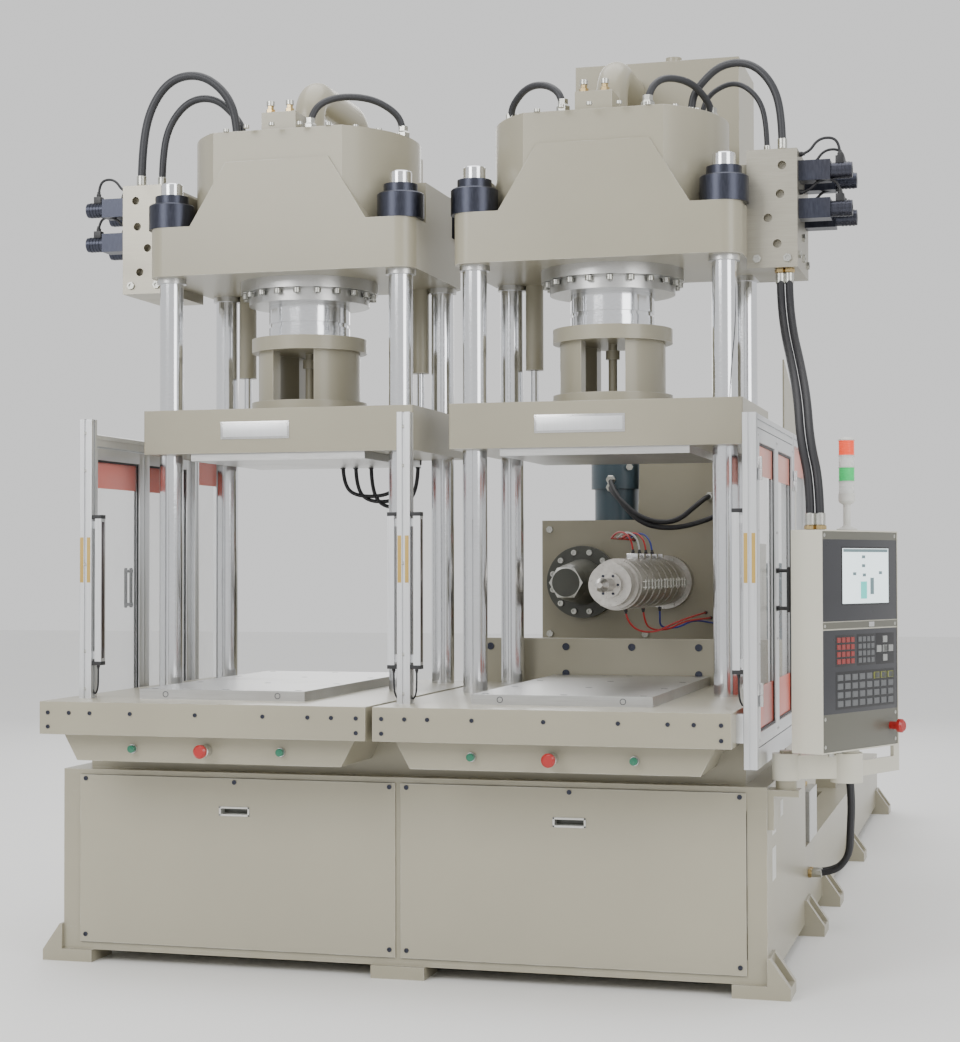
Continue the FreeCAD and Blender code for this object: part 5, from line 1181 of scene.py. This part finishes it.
def pendantFace():
    bench = startBench("oliveSheet")
    facePatch(bench, 0.0, 1.0, 0.0, faceSet["bezelDown"][0], 0.0014, "oliveSheet")
    facePatch(bench, 0.0, 1.0, *faceSet["bezelDown"], 0.0012, "charcoalFace", 0.0015)
    x0, x1, d0, d1 = faceSet["screen"]
    facePatch(bench, x0 - 0.012, x1 + 0.012, d0 - 0.008, d1 + 0.008, 0.0006, "blackPlastic", 0.0010)
    facePatch(bench, x0, x1, d0, d1, 0.0004, "displayGlow", 0.0003)
    for across, down in faceSet["marks"]:
        facePatch(bench, across - 0.022, across + 0.022, down - 0.007, down + 0.007, 0.0003, "displayInk", 0)
    facePatch(bench, 0.50, 0.585, 0.23, 0.31, 0.0003, "tealGlow", 0)
    facePatch(bench, 0.63, 0.68, 0.213, 0.29, 0.0003, "displayInk", 0)
    facePatch(bench, 0.27, 0.87, 0.080, 0.094, 0.0003, "displayInk", 0)
    facePatch(bench, 0.0, 1.0, *faceSet["strip"], 0.0006, "oliveSheet")
    facePatch(bench, 0.61, 0.68, 0.418, 0.440, 0.0001, "bezelMetal", 0.0006)
    facePatch(bench, 0.0, 1.0, *faceSet["keys"], 0.0014, "charcoalFace", 0.0015)
    for area in ((0.165, 0.427, 0.472, 0.618), (0.447, 0.695, 0.472, 0.618), (0.702, 0.955, 0.472, 0.618),
            (0.165, 0.955, 0.640, 0.812)):
        facePatch(bench, *area, 0.0011, "blackPlastic", 0.0004)
    facePatch(bench, 0.0, 1.0, *faceSet["plate"], 0.0016, "oliveSheet")
    for across in (0.03, 0.97):
        for down in (0.018, 0.43, 0.85, 0.975):
            x, z = facePoint(across, down)
            addTurned(bench, (x, 0.0018, z), (0, -1, 0), [(0.0055, 0), (0.0055, 0.0010), (0.004, 0.0017)],
                "zincPlate", 18)
    finishBench(bench, "pendantFacePlate", "pendant_head", pendantPlace)
    keyField("redKeys", 4, 4, 0.175, 0.417, 0.48, 0.61, "redKey")
    keyField("darkKeys", 4, 4, 0.457, 0.685, 0.48, 0.61, "greyKey")
    keyField("crossKeysTall", 1, 3, 0.79, 0.866, 0.48, 0.61, "paleKey")
    keyField("crossKeysWide", 3, 1, 0.704, 0.949, 0.523, 0.567, "paleKey")
    keyField("mainKeys", 8, 4, 0.175, 0.949, 0.648, 0.806, "greyKey")
    keyField("limeKeys", 3, 1, 0.66, 0.949, 0.648, 0.6875, "limeKey", 0.18)
    # seams, screws and cable glands on the case, and padded grip
    bench = startBench("blackRubber")
    deep, wide = pendantSet["deep"], pendantSet["wide"]
    for z in (0.760, 1.375):
        for x in (0.020, wide - 0.020):
            addTurned(bench, (x, deep - 0.0002, z), (0, 1, 0), [(0.0055, 0), (0.0055, 0.0014), (0.004,
                0.0022)], "zincPlate", 18)
    addBlock(bench, (0.030, deep - 0.0002, 0.790), (wide - 0.030, deep + 0.0012, 1.345), "creamPaint", 0.001)
    for k in range(14):
        z = 1.20 + k * 0.009
        addBlock(bench, (0.14, deep + 0.0010, z), (wide - 0.14, deep + 0.0022, z + 0.0035), "darkPaint",
            0.0004)
    for x in (0.130, 0.185, 0.240):
        addTurned(bench, (x, 0.052, 0.7402), (0, 0, -1), [(0.0125, 0), (0.0125, 0.007), (0.0095, 0.010),
            (0.0095, 0.018)], "zincPlate", 6)
    finishBench(bench, "pendantCaseDetail", "pendant_head", pendantPlace)
    print("pendant made")


def stackLamp():
    low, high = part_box("stack_light")
    centre = ((low[0] + high[0]) / 2, (low[1] + high[1]) / 2, low[2])
    flange, lens = (high[0] - low[0]) / 2, 0.025
    bench = startBench("whitePlastic")
    addTurned(bench, centre, (0, 0, 1), [(0, 0.0), (flange, 0.0), (flange, 0.005), (0.016, 0.011), (0.011,
        0.016), (0.011, 0.078), (0.021, 0.084), (lens, 0.090), (lens, 0.112), (0, 0.112)], "whitePlastic", 40)
    rows = ((0.112, 0.148, "clearLens"), (0.150, 0.190, "greenLens"), (0.192, 0.226, "clearLens"), (0.228,
        0.272, "redLens"))
    for start, end, paintName in rows:
        profile = [(0, start), (lens - 0.001, start)]
        ribs = 9
        for k in range(ribs):
            z = start + (end - start) * (k + 0.5) / ribs
            profile += [(lens - 0.0022, z - 0.001), (lens - 0.0005, z), (lens - 0.0022, z + 0.001)]
        addTurned(bench, centre, (0, 0, 1), profile + [(lens - 0.001, end), (0, end)], paintName, 40)
        addTurned(bench, centre, (0, 0, 1), [(0, end - 0.0001), (lens, end), (lens, end + 0.0018), (0,
            end + 0.0019)], "whitePlastic", 40)
    addTurned(bench, centre, (0, 0, 1), [(0, 0.272), (lens, 0.273), (lens, 0.276), (0.018, 0.2815), (0,
        0.282)], "whitePlastic", 40)
    finishBench(bench, "stackLamp", "pendant_head", replaced=("stack_light",))
    spots = [(centre[0] + 0.024 * math.cos(a), centre[1] + 0.024 * math.sin(a),
        centre[2] + 0.0055) for a in (0.8, 2.4, 3.9, 5.5)]
    fasten("stackScrews", "pendant_head", spots, (0, 0, 1), 0.0028, 0.0016, "zincPlate", 12, 0.5, 0.001)


pendantFace()
stackLamp()

# injection unit
unitSet = {"x": 0.55, "z": 1.226, "bands": 7, "firstLead": 2, "plasticiser": 0.214, "coverFront": 1.4302,
    "flangeFace": 1.720, "barrelFlange": 1.700, "nozzleFace": 0.5965, "beamBolts": ((0.030, 1.0), (0.310,
    1.0), (0.550, 1.0), (0.790, 1.0), (1.050, 1.0), (0.31, 0.905), (0.79, 0.905)), "plateBolts": ((0.075,
    1.02), (0.075, 1.435), (0.40, 1.68), (0.845, 1.68), (0.845, 1.02), (0.46, 1.02), (0.845, 1.36)),
    "beamFace": 1.0104, "lug": (0.085, 0.103), "lugShift": 0.028, "boxTop": 0.108, "lead": 0.0035,
    "firstBand": 0.790, "bandPitch": 0.126, "bandWide": 0.096, "barrel": 0.085, "plateFace": 1.760}


def boltRing(x, y, z, reach, count, start):
    # spots evenly round an axis along Y
    angles = [2 * math.pi * k / count + start for k in range(count)]
    return [(x + reach * math.cos(angle), y, z + reach * math.sin(angle)) for angle in angles]


def injectionUnit():
    x, z, face = unitSet["x"], unitSet["z"], unitSet["plateFace"]
    values = {"Count": unitSet["bands"], "Spacing": unitSet["bandPitch"],
        "Radius": unitSet["barrel"] + 0.0022, "Wide": unitSet["bandWide"], "Thick": 0.0042,
        "Finish": finish["heaterSteel"]}
    along = Matrix.Translation((x, unitSet["firstBand"], z)) @ Matrix.Rotation(-math.pi / 2, 4, "X")
    settle(grow("ringRow", values), "heaterBands", "injection_carriage", along)
    bench = startBench("zincPlate")
    for k in range(unitSet["bands"]):
        y = unitSet["firstBand"] + unitSet["bandPitch"] * k
        near, far = unitSet["lug"]
        for shift in (-unitSet["lugShift"], unitSet["lugShift"]):
            for below in (z - 0.012, z + 0.008):
                addBlock(bench, (x + near, y + shift - 0.008, below), (x + far, y + shift + 0.008,
                    below + 0.004), "zincPlate", 0.0006)
            addRod(bench, (x + 0.097, y + shift, z - 0.018), (x + 0.097, y + shift, z + 0.018), 0.003,
                "zincPlate", 12)
        if k >= unitSet["firstLead"]:
            addBlock(bench, (x - 0.020, y - 0.018, z + 0.088), (x + 0.020, y + 0.020,
                z + unitSet["boxTop"]), "bezelMetal", 0.002)
    # hex cap on the front of the plasticiser
    addTurned(bench, (unitSet["plasticiser"], unitSet["coverFront"], z), (0, -1, 0), [(0.064, 0), (0.066,
        -0.0004), (0.050, 0.0), (0.050, 0.0)], "zincPlate", 6)
    finishBench(bench, "bandClamps", "injection_carriage")
    bolts = boltRing(unitSet["plasticiser"], unitSet["flangeFace"] + 0.0005, z, 0.120, 12, 0.26)
    fasten("plasticiserBolts", "injection_carriage", bolts, (0, -1, 0), 0.011, 0.014, "zincPlate", 20, 0.55,
        0.008)
    bolts = boltRing(x, unitSet["barrelFlange"] + 0.0005, z, 0.093, 10, 0)
    fasten("barrelBolts", "injection_carriage", bolts, (0, -1, 0), 0.008, 0.010, "zincPlate", 20, 0.55,
        0.006)
    bolts = boltRing(x, unitSet["nozzleFace"], z, 0.034, 6, 0)
    fasten("nozzleScrews", "injection_carriage", bolts, (0, -1, 0), 0.0045, 0.005, "darkSteel", 16, 0.55,
        0.003)
    bolts = [(place, unitSet["beamFace"], height) for place, height in unitSet["beamBolts"]]
    fasten("beamBolts", "machine", bolts, (0, -1, 0), 0.013, 0.004, "darkSteel", 20, 0.6, 0.003)
    plate = [(place, face - 0.0002, height) for place, height in unitSet["plateBolts"]]
    fasten("plateBolts2", "injection_carriage", plate, (0, -1, 0), 0.014, 0.012, "zincPlate", 6, 0.5, 0.002)
    # heater leads gather into a trunk that enters the front plate
    colours = ("redWire", "blueWire", "redWire", "paleWire", "redWire", "blueWire", "redWire")
    for k in range(unitSet["firstLead"], unitSet["bands"]):
        y = unitSet["firstBand"] + unitSet["bandPitch"] * k
        route = [(x, y, z + 0.108), (x - 0.004, y + 0.010, z + 0.145), (x - 0.030, y + 0.040, z + 0.180),
            (x - 0.075, y + 0.10, z + 0.19), (x - 0.105 - 0.004 * k, y + 0.16, z + 0.165),
            (x - 0.120 - 0.004 * k, min(y + 0.26, face - 0.05), z + 0.150 + 0.008 * k),
            (x - 0.125 - 0.004 * k, face, z + 0.150 + 0.008 * k)]
        if route[4][1] < route[5][1] - 0.01:
            runCable("heaterLead%d" % k, route, unitSet["lead"], colours[k], "injection_carriage")
    for k, paintName in enumerate(("redWire", "redWire", "blueWire")):
        y = 0.80 + 0.22 * k
        route = [(x + 0.02 + 0.02 * k, y, z - 0.087), (x + 0.02 + 0.02 * k, y + 0.005, z - 0.12), (x + 0.05,
            y + 0.06, z - 0.165), (x + 0.10, y + 0.16, z - 0.17), (x + 0.14, y + 0.28, z - 0.14),
            (x + 0.15 + 0.02 * k, face - 0.06, z - 0.12 - 0.02 * k), (x + 0.15 + 0.02 * k, face,
            z - 0.12 - 0.02 * k)]
        runCable("underLead%d" % k, route, unitSet["lead"], paintName, "injection_carriage")
    for k, end in enumerate(((0.72, 1.56), (0.77, 1.50))):
        route = [(0.33, 1.76 - 0.02, 1.60 + 0.03 * k), (0.33, 1.70, 1.60 + 0.03 * k), (0.37, 1.64, 1.56),
            (0.47, 1.61, 1.47 - 0.02 * k), (0.60, 1.62, 1.45 - 0.02 * k), (end[0] - 0.03, 1.65,
            end[1] - 0.03), (end[0], 1.70, end[1]), (end[0], face, end[1])]
        runCable("plateHose%d" % k, route, 0.010, "blackRubber", "injection_carriage")
    print("injection unit made")


injectionUnit()

# valves, plates and leads round the heads
valveSet = {"coil": 0.028, "leadRadius": 0.0045, "plugY": (0.56, 0.82), "plugShares": (0.2, 0.8),
    "lift": 0.02}


def valveDetail():
    bench = startBench("blackPlastic")
    plugs = startBench("darkSteel")
    for number, (low, high) in enumerate(shells("solenoid_valves")):
        sign = 1 if low[0] > 0 else -1
        inner, outer = (low[0], high[0]) if sign > 0 else (high[0], low[0])
        middle = Vector(((low[0] + high[0]) / 2, (low[1] + high[1]) / 2, (low[2] + high[2]) / 2))
        # connector on top of each coil and a knurled nut at its tip
        spot = Vector((outer - sign * 0.040, middle.y, middle.z + valveSet["coil"] - 0.002))
        addBlock(bench, spot + Vector((-0.014, -0.014, -0.004)), spot + Vector((0.014, 0.014, 0.022)),
            "blackPlastic", 0.003)
        for k in range(4):
            place = outer - sign * (0.012 + 0.012 * k)
            addTurned(plugs, (place, middle.y, middle.z), (sign, 0, 0), [(0.022, -0.004), (0.0275, -0.003),
                (0.0275, 0.003), (0.022, 0.004)], "darkSteel", 28)
        addTurned(plugs, (outer, middle.y, middle.z), (-sign, 0, 0), [(0.013, 0), (0.015, 0.002), (0.015,
            0.010), (0.013, 0.012)], "zincPlate", 20)
        start = spot + Vector((0, 0, 0.022))
        lift = valveSet["lift"] + 0.012 * (number % 2)
        route = [start, start + Vector((0, 0, lift)), start + Vector((-sign * 0.020, -0.004, 0.030 + lift)),
            start + Vector((-sign * 0.070, -0.010, 0.026 + lift)), (inner + sign * 0.030, start.y - 0.010,
            start.z + 0.012), (inner, start.y - 0.010, start.z + 0.010)]
        runCable("valveLead%d" % number, route, valveSet["leadRadius"], "blackRubber")
    finishBench(bench, "valveConnectors", "machine")
    finishBench(plugs, "valveRings", "machine")
    # port plugs on the manifolds' outer and front faces
    spots, facing = [], []
    for low, high in shells("manifolds"):
        sign = 1 if low[0] > 0 else -1
        outer = high[0] if sign > 0 else low[0]
        places = [(headSet["centreY"], z) for z in (low[2] + 0.05, low[2] + 0.12, high[2] - 0.03)]
        for y, z in places + [(y, low[2] + 0.045) for y in valveSet["plugY"]]:
            spots.append((outer, y, z))
            facing.append((sign, 0, 0))
        for share in valveSet["plugShares"]:
            spots.append((low[0] + (high[0] - low[0]) * share, low[1], low[2] + 0.03))
            facing.append((0, -1, 0))
    fasten("manifoldPlugs", "machine", spots, facing, 0.014, 0.008, "zincPlate", 6, 0.55, 0.005)
    print("valves made")


plateSet = {
    "spans": (("left", -0.750, -0.500), ("right", 0.355,
        0.657)), "low": 1.725, "high": 1.785, "border": 0.008, "rivet": 0.004,
    "wall": 1.153, "sides": ((0.120, 0.470, 0.090, 0.110), (0.120, 0.330, 0.090, 0.100), (0.330, 0.500,
        0.070, 0.050)),
}


def namePlates():
    low, high, border, rivet = plateSet["low"], plateSet["high"], plateSet["border"], plateSet["rivet"]
    for side, x0, x1 in plateSet["spans"]:
        body, front = side + "_clamp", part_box(side + "_platen")[0][1]
        bench = startBench("bezelMetal")
        addBlock(bench, (x0, front - 0.0020, low), (x1, front + 0.0004, high), "bezelMetal", 0.0008)
        addBlock(bench, (x0 + border, front - 0.0026, low + border), (x1 - border, front - 0.0018,
            high - border), "guardAluminium", 0.0003)
        finishBench(bench, side + "PlatenPlate", body)
        spots = [(x, front - 0.0019, z) for x in (x0 + rivet, x1 - rivet) for z in (low + rivet,
            high - rivet)]
        fasten(side + "PlateRivets", body, spots, (0, -1, 0), 0.0022, 0.0010, "zincPlate", 14, 0.5, 0.0003)
    bench = startBench("whitePlastic")
    for y, z, wide, tall in plateSet["sides"]:
        addBlock(bench, (plateSet["wall"] - 0.0004, y, z), (plateSet["wall"] + 0.0012, y + wide, z + tall),
            "whitePlastic", 0.0004)
    finishBench(bench, "sidePlates", "machine")


def labels():
    # tan blank strips on the front uprights
    bench = startBench("tanLabel")
    strips = []
    for low, high in shells("safety_posts"):
        middle, gap, edge = (low[0] + high[0]) / 2, postSet["stripMiddle"], postSet["stripEdge"]
        strips += [(low[0] + edge, middle - gap, low[1]), (middle + gap, high[0] - edge, low[1])]
    strips += [(a, b, postSet["guardFront"]) for a, b in postSet["guardStrips"]]
    for a, b, y in strips:
        addBlock(bench, (a, y - 0.0006, postSet["stripLow"]), (b, y + 0.0002, postSet["stripTop"]),
            "tanLabel", 0.0002)
    finishBench(bench, "postStrips", "machine")


def headLines():
    drum = hoseSet["drum"]
    # short hoses across the drum lids and down behind the columns
    runCable("lidHose0", [(-0.46, 0.45, drum), (-0.46, 0.45, drum + 0.07), (-0.40, 0.50, drum + 0.13),
        (-0.29, 0.58, drum + 0.14), (-0.215, 0.64, drum + 0.10), (-0.19, 0.66, drum + 0.05), (-0.19, 0.66,
        drum)], 0.012, "braidedHose")
    runCable("lidHose1", [(0.44, 0.42, drum), (0.44, 0.42, drum + 0.06), (0.38, 0.45, drum + 0.11), (0.30,
        0.50, drum + 0.12), (0.235, 0.56, drum + 0.08), (0.22, 0.58, drum + 0.04), (0.22, 0.58, drum)],
        0.012, "braidedHose")
    runCable("lidHose2", [(0.72, 0.44, drum), (0.72, 0.44, drum + 0.06), (0.76, 0.49, drum + 0.12), (0.84,
        0.58, drum + 0.12), (0.885, 0.66, drum + 0.07), (0.895, 0.68, drum + 0.03), (0.895, 0.68, drum)],
        0.012, "braidedHose")
    # leads under the left upper plate and beside the couplings
    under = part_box("left_platen")[0][2]
    for k, shift in enumerate((0.0, 0.05, 0.11)):
        start = (-0.53 + shift, 0.99, under)
        end = (-0.30 + shift * 0.5, 0.99 + 0.01 * k, under)
        drop = 0.10 + 0.02 * k
        runCable("platenLoop%d" % k, [start, (start[0], start[1], under - drop * 0.7), (start[0] + 0.04,
            start[1], under - drop - 0.03), (end[0] - 0.05, end[1], under - drop - 0.03), (end[0], end[1],
            under - drop * 0.7), end], 0.007, "blackRubber", "left_clamp")
    print("head lines made")


valveDetail()
namePlates()
labels()
headLines()

# rear: cupboard, oil tank, pump and drive
rearSet = {
    "slats": 12, "slatPitch": 0.022, "fins": 36, "doorEdge": 0.030, "doorEnd": 0.05, "doorGap": 0.003,
    "doorThick": 0.0025,
    "hingeEnd": 0.16, "motor": (0.77, 1.085), "motorFront": 3.2095, "finMiddle": 3.41, "rims": (0.035,
        0.055, 0.075, 0.095),
    "lids": ((-0.750, -0.350, 2.875), (0.350, 0.750,
        3.091)), "lidEdge": 0.018, "lidFirst": 1.040, "lidPitch": 0.118,
    "tankEdge": 0.02, "tankPitch": 0.115, "gaugeY": 3.1175, "gaugeEnds": (0.535, 0.805),
    "sheetFace": 1.0628, "sheetY": (1.31, 1.60, 1.90, 2.20, 2.32), "sheetZ": (0.33, 0.80, 1.25),
}


def rearDetail():
    low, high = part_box("control_cabinet")
    bench = startBench("creamPaint")
    middleY = (low[1] + high[1]) / 2
    edge, gap, end = rearSet["doorEdge"], rearSet["doorGap"], rearSet["doorEnd"]
    for sign, face in ((-1, low[0]), (1, high[0])):
        for a, b in ((low[1] + edge, middleY - gap), (middleY + gap, high[1] - edge)):
            near = sorted((face, face + sign * rearSet["doorThick"]))
            addBlock(bench, (near[0], a, low[2] + end), (near[1], b, high[2] - end), "panelPaint", 0.0010)
            for z in (low[2] + rearSet["hingeEnd"], high[2] - rearSet["hingeEnd"]):
                pin = a if a < middleY - 0.1 else b
                addRod(bench, (face + sign * 0.004, pin, z - 0.03), (face + sign * 0.004, pin, z + 0.03),
                    0.005, "zincPlate", 16)
        handleY = middleY - 0.05
        near = sorted((face + sign * 0.002, face + sign * 0.012))
        addBlock(bench, (near[0], handleY - 0.012, 0.86), (near[1], handleY + 0.012, 1.00), "blackPlastic",
            0.003)
    finishBench(bench, "cupboardDoors", "machine")
    for number, (sign, face) in enumerate(((-1, low[0]), (1, high[0]))):
        for y in (middleY - 0.25, middleY + 0.25):
            values = {"Count": rearSet["slats"], "Spacing": rearSet["slatPitch"], "Long": 0.26,
                "Deep": 0.010, "Thick": 0.003, "Tip": 0.5, "Finish": finish["panelPaint"]}
            place = Matrix.Translation((face + sign * 0.004, y,
                1.05)) @ Matrix.Rotation(-sign * math.pi / 2, 4, "Z")
            settle(grow("slatColumn", values), "louvre%d%d" % (number, 0 if y < middleY else 1), "machine",
                place)
    # tank: sight gauge, filler and drain
    low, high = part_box("oil_tank")
    bench = startBench("zincPlate")
    side = high[0]
    addBlock(bench, (side - 0.0005, 3.10, 0.52), (side + 0.004, 3.135, 0.82), "blackPlastic", 0.002)
    addBlock(bench, (side + 0.003, 3.111, 0.54), (side + 0.009, 3.124, 0.80), "clearLens", 0.002)
    for z in rearSet["gaugeEnds"]:
        addTurned(bench, (side + 0.004, rearSet["gaugeY"], z), (1, 0, 0), [(0.009, 0), (0.009, 0.005),
            (0.007, 0.007)], "zincPlate", 6)
    addTurned(bench, (1.0, 3.06, high[2]), (0, 0, 1), [(0.045, -0.001), (0.045, 0.010), (0.032, 0.012),
        (0.032, 0.05), (0.040, 0.052), (0.040, 0.078), (0.034, 0.084), (0, 0.085)], "blackPlastic", 32)
    addTurned(bench, (side, 4.05, 0.35), (1, 0, 0), [(0.022, -0.001), (0.022, 0.018), (0.016, 0.020),
        (0.016, 0.03)], "zincPlate", 6)
    finishBench(bench, "tankFittings", "machine")
    inset = rearSet["tankEdge"]
    spots = [(x, low[1] + inset + rearSet["tankPitch"] * k, high[2] - 0.0003) for x in (low[0] + inset,
        high[0] - inset) for k in range(11)]
    fasten("tankLidBolts", "machine", spots, (0, 0, 1), 0.007, 0.005, "zincPlate", 6, 0.5, 0.001)
    # motor: fins round the shell, cowl and terminal box
    values = {"Count": rearSet["fins"], "Radius": 0.1555, "Deep": 0.015, "Thick": 0.003, "Long": 0.31,
        "Finish": finish["motorPaint"]}
    motorX, motorZ = rearSet["motor"]
    place = Matrix.Translation((motorX, rearSet["finMiddle"], motorZ)) @ Matrix.Rotation(-math.pi / 2, 4, "X")
    settle(grow("finCrown", values), "motorFins", "machine", place)
    bench = startBench("motorPaint")
    addTurned(bench, (motorX, rearSet["motorFront"], motorZ), (0, 1, 0), [(0.10, 0), (0.152, 0.012), (0.156,
        0.03), (0.156, 0.055), (0.149, 0.058)], "motorPaint", 48)
    for radius in rearSet["rims"]:
        addTurned(bench, (motorX, rearSet["motorFront"] + 0.001, motorZ), (0, -1, 0), [(radius - 0.004, 0),
            (radius - 0.004, 0.003), (radius + 0.004, 0.003), (radius + 0.004, 0)], "blackPlastic", 40)
    addBlock(bench, (0.70, 3.38, 1.230), (0.84, 3.50, 1.300), "motorPaint", 0.006)
    finishBench(bench, "motorCowl", "machine")
    inset = rearSet["lidEdge"]
    spots = [(x, rearSet["lidFirst"] + rearSet["lidPitch"] * k, top - 0.0003) for a, b,
        top in rearSet["lids"] for k in range(4) for x in (a + inset, b - inset)]
    fasten("prefillBolts", "machine", spots, (0, 0, 1), 0.007, 0.005, "zincPlate", 6, 0.5, 0.001)
    # screws that hold the side sheet
    spots = [(rearSet["sheetFace"], y, z) for y in rearSet["sheetY"] for z in rearSet["sheetZ"]]
    fasten("screenScrews", "machine", spots, (1, 0, 0), 0.006, 0.003, "zincPlate", 20, 0.55, 0.002)
    print("rear made")


rearDetail()

# floor
floorMesh = bpy.data.meshes.new("floor")
half = stage["floor"]
floorMesh.from_pydata([(-half, -half, 0), (half, -half, 0), (half, half, 0), (-half, half, 0)], [], [(0, 1,
    2, 3)])
floor = bpy.data.objects.new("floor", floorMesh)
bpy.context.collection.objects.link(floor)
floorPaint, floorTree, floorShader = startMaterial("floorPaint")
floorGrain = addGroup(floorTree, surfaceGrain, {"Patch Scale": 0.6, "Grain Scale": 30.0})
floorTree.links.new(mixColour(floorTree, floorGrain.outputs["Tone"], stage["floorTone"],
    tuple(part * 1.03 for part in stage["floorTone"])), floorShader.inputs["Base Color"])
floorShader.inputs["Roughness"].default_value = 0.7
floorMesh.materials.append(floorPaint)
